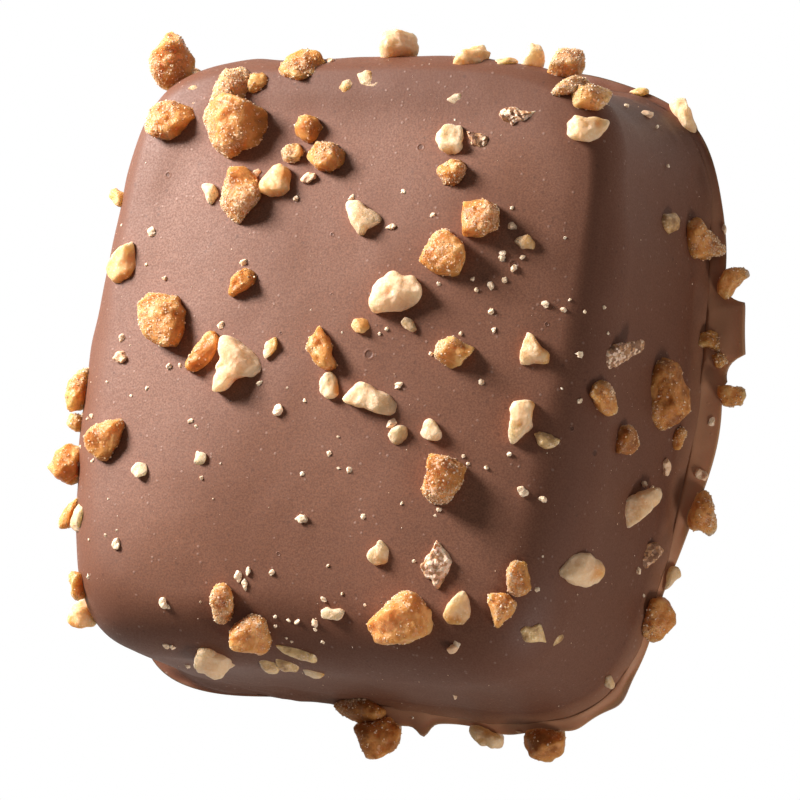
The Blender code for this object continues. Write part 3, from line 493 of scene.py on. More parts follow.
# The most that any bit stands above the coat in millimetres, and its root's least depth and further depth as
# a share of its breadth.
MOST_RISE = 2.2
LEAST_ROOT = 0.3
ROOT_DEPTH = 0.2
# How far down its side its outline lies, and its net: more columns for each millimetre of breadth, and rows
# as a share of the columns.
OUTLINE_SHARE = 0.62
MORE_COLUMNS = 24
ROW_SHARE = 0.46
# How far its crown may lean, and how deep under its middle the spokes start, as shares of breadth and rise.
LEAN = 0.16
SPOKE_DEPTH = 0.3
# Its facets: the shallowest and deepest cut as shares of its reach, the range of their pitch in radians, the
# tilt of the one on top, and the share of the outline that every facet keeps.
LEAST_CUT = 0.08
DEEPEST_CUT = 0.26
FACET_PITCH = (0.45, 1.25)
TOP_TILT = 0.2
KEPT_OUTLINE = 1.01
# How far a granule's spot strays from the middle of its cell, in cells.
SPOT_STRAY = 0.45
# How much a crust thickens towards its side, and the size in millimetres and the strength of its patches.
SIDE_STRENGTH = 0.35
PATCHES = (0.8, 0.38)
# Seed of a kind's first bit, and how many seeds each bit has.
FIRST_BIT_SEED = 100
SEEDS_A_BIT = 10

# Bits on the two walls out of view, by the part's own seeded rule. Their rows: turns in degrees, places in a
# row, steps of the rows, and how far a place strays in its column and in steps. A bit: its breadth, number of
# corners, their reach as a share of the breadth, and its squash. Then the least gap between bits and the
# share of brittle, how far in pixels a bit may show past the coat's places, and ranges of tone and crust.
HIDDEN_SEED = 7
HIDDEN_TURNS = (60.0, 250.0)
HIDDEN_COLUMNS = 14
HIDDEN_STEPS = (2.12, 2.38, 2.64, 2.9)
COLUMN_START = 0.25
COLUMN_STRAY = 0.3
STEP_STRAY = 0.08
HIDDEN_BREADTH = (0.9, 2.5)
HIDDEN_CORNERS = (5, 8)
CORNER_REACH = (0.45, 0.68)
SQUASH = (0.65, 1.0)
HIDDEN_CLEARANCE = 2.3
BRITTLE_SHARE = 0.6
OUTLINE_GAP = 2.5
HIDDEN_TONE = (0.35, 0.75)
HIDDEN_CRUST = (0.1, 0.5)
# Height under which a bit's points are squeezed together, the share of it that is left free under the lowest
# of them, and over how many millimetres the squeeze eases.
LOWEST = 0.14
FREE_SHARE = 0.4
SQUEEZE = 0.5

# Crumbs: how much a point goes in or out and a crumb is stretched. Rows and columns of the net, least and
# further breadth in millimetres and the power that favours the small, and the range of tone, by sort.
CRUMB_SPREAD = (0.7, 1.25)
CRYSTAL_NET = (2, 5)
CRYSTAL_BREADTH = (0.05, 0.09, 2)
CRYSTAL_TONE = (0.1, 1.0)
GRAIN_NET = (4, 7)
GRAIN_TONE = (0.75, 1.0)
DUST_NET = (1, 4)
DUST_BREADTH = (0.03, 0.07, 3)
DUST_TONE = (0.4, 1.0)
# Sugar on bare brittle, the power of its crust that draws more, and the level on a bit under which none lies.
BARE_SUGAR = 0.08
CRUST_POWER = 1.5
LOWEST_SUGAR = -0.6
# Dust outside its drifts, their size, how far they spread, their seed, and the height under which none lies.
BARE_DUST = 0.15
DRIFT_SIZE = 4.0
DRIFT_SPREAD = 0.1
DRIFT_SEED = 31
LOWEST_DUST = 1.0

# Tints within the chocolate, by its finest grain and its specks, whose brown is also painted as shade inside
# its pits, and the colours of the floor and its glow.
GRAIN_BROWN = (0.12, 0.04, 0.02)
SPECK_AND_PIT_SHADE_BROWN = (0.05, 0.018, 0.01)
SPECK_PALE = (0.7, 0.5, 0.4)
FLOOR_WHITE = (1.0, 1.0, 1.0)
FLOOR_GLOW = (1.0, 0.88, 0.76)
# Half the side of the floor, its squares on a side, and how far under the praline it lies, in millimetres.
FLOOR_REACH = 800.0
FLOOR_SQUARES = 8
FLOOR_DROP = 0.02


def hashed(cells, seed):
    """A value from -1 to 1 for each whole-number cell, from an integer mix of its three coordinates."""
    whole = cells.astype(np.int64)
    mixed = whole[..., 0] * 73856093 ^ whole[..., 1] * 19349663 ^ whole[..., 2] * 83492791
    mixed = (mixed + seed * 1013904223) & 0xFFFFFFFF
    for _ in range(2):
        mixed = ((mixed ^ (mixed >> 16)) * 0x45D9F3B) & 0xFFFFFFFF
    return (mixed ^ (mixed >> 16)) / 0x7FFFFFFF - 1.0


def lattice_noise(points, seed):
    """Noise from -1 to 1: the hashed values of a cell's eight corners, blended by smooth steps across it."""
    cell = np.floor(points)
    share = points - cell
    share = share * share * (3.0 - 2.0 * share)
    total = 0.0
    for corner in np.ndindex(2, 2, 2):
        weight = np.where(corner, share, 1.0 - share).prod(axis=-1)
        total = total + weight * hashed(cell + np.array(corner), seed)
    return total


def fractal(points, size, octaves, seed):
    """Lattice noise at a size and at its halves, each half as strong as the last."""
    total = 0.0
    for octave in range(octaves):
        total = total + lattice_noise(points / size * 2.0**octave, seed + octave) * 0.5**octave
    return total


def granules(points, size, seed):
    """Rounded granules from 0 to 1: 1 - d^2 for the distance d to the nearest of one hashed spot a cell."""
    cell = np.floor(points / size)
    nearest = np.full(len(points), np.inf)
    for offset in np.ndindex(3, 3, 3):
        near = cell + np.array(offset) - 1.0
        spot = near + 0.5 + SPOT_STRAY * np.stack([hashed(near, seed + axis) for axis in range(3)], axis=-1)
        nearest = np.minimum(nearest, ((points / size - spot) ** 2).sum(axis=-1))
    return np.clip(1.0 - nearest, 0.0, 1.0)


def unit(vectors):
    return vectors / np.linalg.norm(vectors, axis=-1, keepdims=True)


def view_axes():
    """Right, up and back (towards the eye) of the fixed direction."""
    azimuth, elevation, roll = np.radians((VIEW_AZIMUTH, VIEW_ELEVATION, VIEW_ROLL))
    back = np.array(
        [np.sin(azimuth) * np.cos(elevation), -np.cos(azimuth) * np.cos(elevation), np.sin(elevation)]
    )
    level = np.array([np.cos(azimuth), np.sin(azimuth), 0.0])
    upright = np.cross(back, level)
    right = np.cos(roll) * level + np.sin(roll) * upright
    up = np.cos(roll) * upright - np.sin(roll) * level
    return right, up, back


def seen_at(points):
    """Pixels at which points are seen, and the millimetres that a pixel spans at each."""
    right, up, back = view_axes()
    offset = points - np.array(VIEW_TARGET)
    pixel = (VIEW_DISTANCE - offset @ back) / (VIEW_DISTANCE * PIXELS_PER_MM)
    across = VIEW_MIDDLE[0] + offset @ right / pixel
    down = VIEW_MIDDLE[1] - offset @ up / pixel
    return np.stack([across, down], axis=-1), pixel


class Coat:
    """The coat's surface, in millimetres, for arrays of turn (radians) and step down it (0 to 5).

    Steps: 0 middle of the top, 1 shoulder, 2 wall, 3 crease above the foot, 4 foot's edge, 5 middle of the
    underside.
    """

    def __init__(self, sizes):
        self.height = sizes.height / MM
        self.crown = sizes.crown / MM
        self.half_width = sizes.width / 2 / MM
        self.half_length = sizes.length / 2 / MM
        self.shoulder = sizes.shoulder / MM
        self.flare = sizes.flare / MM
        self.foot_reach = sizes.foot_reach / MM
        self.waves = sizes.waves / MM

    def waist(self, turn):
        """Distance from the middle to the wall's top: a squarish oval with a slow swelling round it."""
        across = np.abs(np.cos(turn)) / self.half_width
        along = np.abs(np.sin(turn)) / self.half_length
        reach = (across**SQUARENESS + along**SQUARENESS) ** (-1.0 / SQUARENESS)
        for waves, right, back in SWELLING:
            reach = reach + right * np.cos(waves * turn) + back * np.sin(waves * turn)
        return reach

    def crease(self, turn):
        """Distance from the middle to the crease where the wall meets the foot."""
        return self.waist(turn) + self.flare + FLARE_TO_RIGHT * np.cos(turn) + FLARE_TO_BACK * np.sin(turn)

    def foot(self, turn):
        """Distance from the middle to the foot's edge, with its lips, less the round bites."""
        reach = self.crease(turn) + self.foot_reach
        for at, extra, half, sharpness in LIPS:
            away = (np.degrees(turn) - at + 180.0) % 360.0 - 180.0
            reach = reach + extra * np.exp(-np.abs(away / half) ** sharpness)
        for at, distance, radius in BITES:
            away = turn - np.radians(at)
            inside = radius**2 - (distance * np.sin(away)) ** 2
            facing = (inside > 0) & (np.cos(away) > 0)
            near_side = distance * np.cos(away) - np.sqrt(np.maximum(inside, 0.0))
            reach = np.where(facing, np.minimum(reach, near_side), reach)
        return reach

    def base(self, turn, step):
        """Smooth form: flat top, superelliptic shoulder, flaring wall, thin foot and flat underside.

        Above the wall it swells by the crown times one less the squared share of the radius in the waist's.
        """
        shoulder = self.shoulder + SHOULDER_TO_RIGHT * np.cos(turn) + SHOULDER_TO_BACK * np.sin(turn)
        wall, base, edge = self.waist(turn), self.crease(turn), self.foot(turn)

        top_share = np.clip(step, 0.0, 1.0)
        quarter = np.clip(2.0 - step, 0.0, 1.0) * np.pi / 2
        full = np.cos(quarter) ** SHOULDER_CURVE + np.sin(quarter) ** SHOULDER_CURVE
        rounding = full ** (-1.0 / SHOULDER_CURVE)
        down = np.clip(step - 2.0, 0.0, 1.0)
        out = np.clip(step - 3.0, 0.0, 1.0)
        under = np.clip(step - 4.0, 0.0, 1.0)

        radius = (wall - shoulder) * top_share
        radius = np.where(step > 1.0, wall - shoulder * (1.0 - rounding * np.cos(quarter)), radius)
        radius = np.where(step > 2.0, wall + (base - wall) * down**FLARE_CURVE, radius)
        radius = np.where(step > 3.0, base + (edge - base) * out, radius)
        radius = np.where(step > 4.0, edge * (1.0 - under), radius)

        drop = shoulder * (1.0 - rounding * np.sin(quarter))
        height = np.where(step > 1.0, self.height - drop, self.height)
        height = height + self.crown * (1.0 - np.clip(radius / wall, 0.0, 1.0) ** 2)
        height = np.where(step > 2.0, (self.height - shoulder) * (1.0 - down) + FOOT_HEIGHT * down, height)
        height = np.where(step > 3.0, FOOT_HEIGHT + (FOOT_EDGE - FOOT_HEIGHT) * out, height)
        height = np.where(step > 4.0, 0.0, height)
        return np.stack([radius * np.cos(turn), radius * np.sin(turn), height], axis=-1)

    def normal(self, turn, step):
        """Unit normals of the smooth form, from two short chords at each place."""
        around = self.base(turn + CHORD, step) - self.base(turn - CHORD, step)
        downward = self.base(turn, step + CHORD) - self.base(turn, step - CHORD)
        return unit(np.cross(downward, around))

    def relief(self, points, turn, step):
        """Height above the smooth form: waves, runs down the walls, wrinkles by the foot, a rim and a fillet.

        The rim along the back of the top and the fillet in the crease fall off as exp(-d^2) on both sides.
        """
        fading = np.clip(WAVES_END - step, 0.0, 1.0)
        on_wall = np.clip(step - RUNS_FROM, 0.0, 1.0) * np.clip(RUNS_END - step, 0.0, 1.0)
        coming = np.clip((step - WRINKLES_FROM) / WRINKLES_FADE, 0.0, 1.0)
        going = np.clip((WRINKLES_END - step) / WRINKLES_FADE, 0.0, 1.0)
        waves = fractal(points, WAVE_SIZE, 3, WAVE_SEED)
        runs = fractal(points * RUN_PATTERN, RUN_SIZE, 2, RUN_SEED)
        wrinkles = fractal(points * WRINKLE_PATTERN, WRINKLE_SIZE, 2, WRINKLE_SEED)
        from_rim = np.where(step < RIM_STEP, (RIM_STEP - step) / RIM_INNER, (step - RIM_STEP) / RIM_OUTER)
        rim = np.exp(-from_rim**2) * np.clip(np.sin(turn), 0.0, 1.0) ** 2
        above = (CREASE_STEP - step) / FILLET_ABOVE
        outside = (step - CREASE_STEP) / FILLET_OUT
        fillet = np.exp(-np.where(step < CREASE_STEP, above, outside) ** 2)
        return (
            self.waves * waves * fading
            + RUN_HEIGHT * runs * on_wall
            + WRINKLE_HEIGHT * wrinkles * (coming * going)
            + RIM_HEIGHT * rim
            + FILLET_HEIGHT * fillet
        )

    def surface(self, turn, step):
        """Points of the coat with its relief."""
        points = self.base(turn, step)
        lift = self.relief(points, turn, step)
        return points + self.normal(turn, np.clip(step, FIRST_STEP, LAST_STEP)) * lift[..., None]

    def samples(self):
        """A fine net of the coat's points that the eye sees, with their normals, pixels and pixel spans.

        They face the eye, and the wall above those on the foot does so too.
        """
        turns = np.linspace(-np.pi, np.pi, SAMPLE_TURNS, endpoint=False)
        turns, steps = np.meshgrid(turns, np.linspace(FIRST_STEP, LAST_STEP, SAMPLE_STEPS))
        points = self.base(turns, steps).reshape(-1, 3)
        normals = self.normal(turns, steps).reshape(-1, 3)
        walls = self.normal(turns, np.full_like(steps, WALL_STEP)).reshape(-1, 3)
        back = view_axes()[2]
        facing = (normals @ back > LEAST_FACING) & ((steps.reshape(-1) < CREASE_STEP) | (walls @ back > 0.0))
        pixels, spans = seen_at(points)
        return points[facing], normals[facing], pixels[facing], spans[facing]


def ball_triangles(rows, columns):
    """Triangles of a closed net, facing outwards: one pole, rows of points downwards, the other pole."""
    here = np.arange(columns)
    after = np.roll(here, -1)
    start = 1 + columns * np.arange(rows - 1)[:, None]
    upper, lower = start + here, start + columns + here
    upper_after, lower_after = start + after, start + columns + after
    wall = np.stack([upper, lower, lower_after, upper, lower_after, upper_after], axis=-1).reshape(-1, 3)
    last = 1 + columns * (rows - 1)
    top = np.stack([np.zeros_like(here), 1 + here, 1 + after], axis=-1)
    bottom = np.stack([last + here, np.full_like(here, rows * columns + 1), last + after], axis=-1)
    return np.concatenate([top, wall, bottom])


def ball_points(rows, columns):
    """Points of a unit ball in the order of ball_triangles, evenly spaced in both angles."""
    down = np.pi * np.arange(1, rows + 1)[:, None] / (rows + 1)
    turn = 2 * np.pi * np.arange(columns) / columns
    level = np.cos(down) + 0 * turn
    ring = np.stack([np.sin(down) * np.cos(turn), np.sin(down) * np.sin(turn), level], axis=-1)
    return np.concatenate([[[0.0, 0.0, 1.0]], ring.reshape(-1, 3), [[0.0, 0.0, -1.0]]])


def in_turn(corners, stand):
    """Corners put in anticlockwise order about the direction in which a bit stands."""
    spokes = corners - corners.mean(axis=0)
    first = unit(np.cross(stand, spokes[0]))
    second = np.cross(stand, first)
    return corners[np.argsort(np.arctan2(spokes @ second, spokes @ first))]


def breadth_of(corners):
    """Square root of the area of a flat outline in space."""
    spokes = corners - corners.mean(axis=0)
    crosses = np.cross(spokes, np.roll(spokes, -1, axis=0))
    return np.sqrt(np.linalg.norm(crosses.sum(axis=0)) / 2)


def even_outline(corners, count):
    """A closed outline walked in even steps, its corners rounded by averaging neighbours as 1, 2, 1."""
    ends = np.concatenate([corners, corners[:1]])
    walked = np.concatenate([[0.0], np.linalg.norm(np.diff(ends, axis=0), axis=-1).cumsum()])
    places = np.linspace(0.0, walked[-1], count, endpoint=False)
    ring = np.stack([np.interp(places, walked, ends[:, axis]) for axis in range(3)], axis=-1)
    return (np.roll(ring, 1, axis=0) + 2 * ring + np.roll(ring, -1, axis=0)) / 4


def bit_surface(corners, stand, rise, root, kind, crust, side, seed):
    """A lump over an outline: its net's points, its triangles, and its crust and height share at each point.

    The outline is scaled by sin(a)^(2/n) and lifted by cos(a)^(2/n) of the rise, which makes a squarish dome.
    Below, it shrinks by 1 - t^2 towards the root. Points past a facet's plane are eased back onto it. Lumps,
    grain and granules then move the points along their spokes.
    """
    style = KINDS[kind]
    draw = np.random.default_rng(seed)
    corners = in_turn(corners, stand)
    middle = corners.mean(axis=0)
    breadth = breadth_of(corners)
    columns = int(style.columns + MORE_COLUMNS * breadth)
    rows = int(ROW_SHARE * columns)
    ring = even_outline(corners, columns) - middle
    share = np.linspace(0.0, 1.0, rows + 2)[1:-1, None]
    angle = np.clip(share / OUTLINE_SHARE, 0.0, 1.0) * np.pi / 2
    below = np.clip((share - OUTLINE_SHARE) / (1.0 - OUTLINE_SHARE), 0.0, 1.0)
    power = 2.0 / style.fullness
    width = np.sin(angle) ** power * (1.0 - below**2)
    lift = np.maximum(np.cos(angle), 0.0) ** power * rise

    first = unit(np.cross(stand, ring[0]))
    second = np.cross(stand, first)
    lean = draw.uniform(-LEAN, LEAN, 2) * breadth
    shift = (lean[0] * first + lean[1] * second) * (lift / rise)[..., None] ** 2
    points = middle + width[..., None] * ring + lift[..., None] * stand + shift
    points = points + below[..., None] * (root - middle)
    level = np.broadcast_to(lift / rise - below, (rows, columns))
    crown = middle + rise * stand + lean[0] * first + lean[1] * second
    points = np.concatenate([[crown], points.reshape(-1, 3), [root]])
    level = np.concatenate([[1.0], level.reshape(-1), [-1.0]])

    outward = unit(middle - root)
    soft = style.softness * breadth
    for facet in range(style.facets):
        bearing = draw.uniform(0.0, 2 * np.pi)
        pitch = draw.uniform(*FACET_PITCH)
        facing = np.cos(pitch) * (np.cos(bearing) * first + np.sin(bearing) * second) + np.sin(pitch) * stand
        cut = draw.uniform(LEAST_CUT, DEEPEST_CUT)
        if facet == 0:
            facing, cut = unit(outward + TOP_TILT * facing), style.top_cut
        reach = (points - middle) @ facing
        kept = np.maximum((ring @ facing).max() * KEPT_OUTLINE, reach.max() * (1.0 - cut))
        points = points - (soft * np.logaddexp(0.0, (reach - kept) / soft))[:, None] * facing

    seen, _ = seen_at(points)
    spread = seen - seen.mean(axis=0)
    towards = spread @ np.array([np.cos(np.radians(side)), -np.sin(np.radians(side))])
    crust = crust + SIDE_STRENGTH * towards / np.abs(towards).max()
    crust = np.clip(crust + PATCHES[1] * fractal(points, PATCHES[0], 3, seed), 0.0, 1.0)

    spokes = unit(points - (middle - SPOKE_DEPTH * rise * stand))
    rough = fractal(points, style.lumps[0] * breadth, 2, seed + 1) * style.lumps[1] * breadth
    rough = rough + fractal(points, style.grain[0], 2, seed + 2) * style.grain[1]
    rough = rough + granules(points, style.granules[0], seed + 3) * style.granules[1] * crust
    points = points + spokes * (rough * np.clip(1.0 + level, 0.0, 1.0))[:, None]
    return above_table(points), ball_triangles(rows, columns), crust, level


def above_table(points):
    """Keeps a bit off the table: what would reach d under LOWEST is put at a share of LOWEST above the table.

    The share is f + (1 - f) / (1 + d / s) for the free share f and the squeeze s.
    """
    height = points[:, 2]
    under = np.maximum(LOWEST - height, 0.0)
    squeezed = LOWEST * (FREE_SHARE + (1.0 - FREE_SHARE) / (1.0 + under / SQUEEZE))
    return np.column_stack([points[:, :2], np.where(height < LOWEST, squeezed, height)])


def laid_on(outline, kind, samples):
    """Where a bit is seen, as (corners, stand, rise, root, anchor): tilted half way between coat and eye."""
    points, normals, pixels, spans = samples
    right, up, back = view_axes()
    outline = np.array(outline, float)
    nearest = np.argmin(((pixels - outline.mean(axis=0)) ** 2).sum(axis=1))
    anchor, span = points[nearest], spans[nearest]
    lean = unit(normals[nearest] + back)
    offsets = (outline - pixels[nearest]) * span
    flat = offsets[:, :1] * right - offsets[:, 1:] * up
    corners = anchor + flat - np.outer(flat @ lean / (back @ lean), back)
    breadth = breadth_of(in_turn(corners, lean))
    rise = min(KINDS[kind].rise * breadth, MOST_RISE)
    root = anchor - normals[nearest] * (LEAST_ROOT + ROOT_DEPTH * breadth)
    return corners, unit(lean + back), rise, root, anchor


def hidden_bits(coat, samples):
    """Seeded bits on the two walls out of view, by the part's rule: (kind, corners, stand, rise, root)."""
    draw = np.random.default_rng(HIDDEN_SEED)
    pixels = samples[2]
    bits = BRITTLE | NUT | CLEAR | FLAKES
    taken = [laid_on(bit[-1], "nut", samples)[-1] for bit in bits.values()]
    found = []
    for row, level in enumerate(HIDDEN_STEPS):
        for column in range(HIDDEN_COLUMNS):
            stray = draw.uniform(-COLUMN_STRAY, COLUMN_STRAY)
            share = (column + 0.5 * (row % 2) + COLUMN_START + stray) / HIDDEN_COLUMNS
            turn = np.radians(HIDDEN_TURNS[0] + share * (HIDDEN_TURNS[1] - HIDDEN_TURNS[0]))
            anchor = coat.base(turn, level + draw.uniform(-STEP_STRAY, STEP_STRAY))
            outward = coat.normal(turn, level)
            level_axis = unit(np.cross(np.array([0.0, 0.0, 1.0]), outward))
            rising_axis = np.cross(outward, level_axis)
            breadth = draw.uniform(*HIDDEN_BREADTH)
            count = int(draw.integers(*HIDDEN_CORNERS))
            reach = breadth * draw.uniform(*CORNER_REACH, count)
            squash = draw.uniform(*SQUASH)
            bearing = draw.uniform(0.0, 2 * np.pi) + np.arange(count) * 2 * np.pi / count
            across = np.outer(reach * np.cos(bearing), level_axis)
            upward = np.outer(squash * reach * np.sin(bearing), rising_axis)
            corners = anchor + across + upward
            kind = "brittle" if draw.random() < BRITTLE_SHARE else "nut"
            rise = KINDS[kind].rise * breadth_of(corners)
            crowded = min(np.linalg.norm(anchor - place) for place in taken) < HIDDEN_CLEARANCE
            seen, _ = seen_at(corners + outward * rise)
            gaps = np.linalg.norm(seen[:, None, :] - pixels[None, :, :], axis=-1).min(axis=1)
            if crowded or gaps.max() > OUTLINE_GAP:
                continue
            root = anchor - outward * (LEAST_ROOT + ROOT_DEPTH * breadth_of(corners))
            found.append((kind, corners, outward, rise, root))
            taken.append(anchor)
    return found


def bits_of(kind, table, coat, samples, with_hidden):
    """All bits of a kind as one net: points, triangles, and tone, crust and level at each point."""
    laid = [(*bit[:3], laid_on(bit[3], kind, samples)[:4]) for bit in table.values()]
    if with_hidden:
        draw = np.random.default_rng(HIDDEN_SEED + 1)
        for found in hidden_bits(coat, samples):
            tone, crust = draw.uniform(*HIDDEN_TONE), draw.uniform(*HIDDEN_CRUST)
            side = draw.uniform(0.0, 360.0)
            if found[0] == kind:
                laid.append((tone, crust, side, found[1:]))
    points, triangles, tones, crusts, levels = [], [], [], [], []
    for index, (tone, crust, side, shape) in enumerate(laid):
        seed = FIRST_BIT_SEED + SEEDS_A_BIT * index
        made, net, crusted, level = bit_surface(*shape, kind, crust, side, seed)
        triangles.append(net + sum(len(lot) for lot in points))
        points.append(made)
        levels.append(level)
        tones.append(np.full(len(made), tone))
        crusts.append(crusted)
    values = {"tone": np.concatenate(tones), "crust": np.concatenate(crusts), "level": np.concatenate(levels)}
    return np.concatenate(points), np.concatenate(triangles), values


def turned(count, draw):
    """Random turns, as an array of three by three matrices with unit rows at right angles."""
    first = unit(draw.normal(size=(count, 3)))
    second = unit(np.cross(first, draw.normal(size=(count, 3))))
    return np.stack([first, second, np.cross(first, second)], axis=1)


def crumbs(centres, breadths, net, tones, draw):
    """Rough little balls at centres, as (points, triangles, tone at each point).

    Each is a unit ball whose points are moved in and out, stretched, turned and given one tone of the range.
    """
    count = len(centres)
    unit_ball = ball_points(*net)
    rough = unit_ball * draw.uniform(*CRUMB_SPREAD, (count, len(unit_ball), 1))
    stretched = rough * draw.uniform(*CRUMB_SPREAD, (count, 1, 3)) * breadths[:, None, None] / 2
    points = np.einsum("nij,njk->nik", stretched, turned(count, draw)) + centres[:, None, :]
    triangles = ball_triangles(*net)[None] + len(unit_ball) * np.arange(count)[:, None, None]
    tone = np.repeat(draw.uniform(*tones, count), len(unit_ball))
    return points.reshape(-1, 3), triangles.reshape(-1, 3), tone


def mostly_small(least, further, power, count, draw):
    """Breadths of least + further * r^power for random r from 0 to 1, so most are near the least."""
    return least + further * draw.random(count) ** power


def scattered(points, triangles, weights, count, draw):
    """Random places on a net, drawn by area times a weight at each point."""
    a, b, c = (points[triangles[:, corner]] for corner in range(3))
    area = np.linalg.norm(np.cross(b - a, c - a), axis=-1)
    chance = area * weights[triangles].mean(axis=1)
    chosen = draw.choice(len(triangles), size=count, p=chance / chance.sum())
    split = np.sort(draw.random((count, 2)), axis=1)
    parts = np.column_stack([split[:, 0], split[:, 1] - split[:, 0], 1.0 - split[:, 1]])
    return (points[triangles[chosen]] * parts[..., None]).sum(axis=1)


def net_of(piece):
    """Points in millimetres and triangles of a piece made here."""
    mesh = piece.data
    points = np.empty(len(mesh.vertices) * 3, np.float32)
    mesh.vertices.foreach_get("co", points)
    triangles = np.empty(len(mesh.loops), np.int32)
    mesh.loops.foreach_get("vertex_index", triangles)
    return points.reshape(-1, 3).astype(float) / MM, triangles.reshape(-1, 3)


def values_of(piece, name):
    """A piece's named value at each point."""
    values = np.empty(len(piece.data.vertices), np.float32)
    piece.data.attributes[name].data.foreach_get("value", values)
    return values


def add_piece(name, points, triangles, values, material, faceted=False):
    """Makes a mesh piece from arrays in millimetres, which rides on the body and stands for its node."""
    mesh = bpy.data.meshes.new(name)
    mesh.from_pydata((points * MM).tolist(), [], triangles.tolist())
    for key, numbers in values.items():
        mesh.attributes.new(key, "FLOAT", "POINT").data.foreach_set("value", np.asarray(numbers, np.float32))
    mesh.materials.append(material)
    if not faceted:
        mesh.shade_smooth()
    piece = bpy.data.objects.new(name, mesh)
    bpy.context.scene.collection.objects.link(piece)
    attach(piece, BODY)
    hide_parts(NODE)
    return piece


class Shading:
    """Builds a node tree in few words. A node's inputs take a number, a colour or another node's output.

    A colour has three numbers and is made opaque. Sizes are in millimetres.
    """

    def __init__(self, tree):
        self.tree = tree

    def add(self, kind, inputs=None, **settings):
        node = self.tree.nodes.new("ShaderNode" + kind)
        for name, value in settings.items():
            setattr(node, name, value)
        for name, value in (inputs or {}).items():
            self.feed(node.inputs[name], value)
        return node

    def feed(self, socket, value):
        if isinstance(value, bpy.types.NodeSocket):
            self.tree.links.new(value, socket)
        elif socket.type == "RGBA":
            socket.default_value = (*value, 1.0)
        else:
            socket.default_value = value

    def place(self):
        return self.add("TexCoord").outputs["Object"]

    def value(self, name):
        return self.add("Attribute", attribute_name=name).outputs["Fac"]

    def count(self, operation, first, second=0.0, clamp=False):
        node = self.add("Math", operation=operation, use_clamp=clamp)
        self.feed(node.inputs[0], first)
        self.feed(node.inputs[1], second)
        return node.outputs[0]

    def vector(self, operation, first, second):
        node = self.add("VectorMath", operation=operation)
        self.feed(node.inputs[0], first)
        self.feed(node.inputs[1], second)
        return node

    def blend(self, factor, first, second):
        node = self.add("Mix", data_type="RGBA")
        self.feed(node.inputs[0], factor)
        self.feed(node.inputs[6], first)
        self.feed(node.inputs[7], second)
        return node.outputs[2]

    def ease(self, value, low, high, lowest=0.0, highest=1.0):
        """A value mapped from low..high to lowest..highest, smoothly at both ends."""
        span = {"Value": value, "From Min": low, "From Max": high, "To Min": lowest, "To Max": highest}
        return self.add("MapRange", span, interpolation_type="SMOOTHSTEP").outputs["Result"]

    def per_size(self, size):
        """Cells a metre for a size, which may be a node's output."""
        return self.count("DIVIDE", 1.0 / MM, size)

    def noise(self, scale, detail=3.0, roughness=0.55):
        inputs = {"Vector": self.place(), "Scale": scale, "Detail": detail, "Roughness": roughness}
        return self.add("TexNoise", inputs).outputs["Fac"]

    def spread(self, noise, least, most):
        """A noise, which lies mostly from 0.3 to 0.7, mapped to least..most."""
        return self.ease(noise, 0.3, 0.7, least, most)

    def toned(self, noise, least, most):
        """The piece's tone with a noise of least..most added, kept from 0 to 1."""
        return self.count("ADD", self.value("tone"), self.spread(noise, least, most), clamp=True)

    def stained(self, colour, mask, share, stain):
        """A colour with a share of another one where a mask is 1."""
        return self.blend(self.count("MULTIPLY", mask, share), colour, stain)

    def bump(self, height, depth, normal=None):
        inputs = {"Height": height, "Distance": depth * MM, "Strength": 1.0}
        if normal is not None:
            inputs["Normal"] = normal
        return self.add("Bump", inputs).outputs["Normal"]

    def effect(self, name, **inputs):
        """First output of a group, which is the effect that it is for."""
        return self.group(name, **inputs).outputs[0]

    def group(self, name, **inputs):
        node = self.add("Group", node_tree=bpy.data.node_groups[name])
        for key, value in inputs.items():
            self.feed(node.inputs[key.capitalize()], value)
        return node


def new_group(name, inputs, outputs):
    """A shader node group with number inputs (name: default) and number outputs, and its two end nodes."""
    tree = bpy.data.node_groups.new(name, "ShaderNodeTree")
    for key, default in inputs.items():
        tree.interface.new_socket(key, in_out="INPUT", socket_type="NodeSocketFloat").default_value = default
    for key in outputs:
        tree.interface.new_socket(key, in_out="OUTPUT", socket_type="NodeSocketFloat")
    return Shading(tree), tree.nodes.new("NodeGroupInput").outputs, tree.nodes.new("NodeGroupOutput").inputs


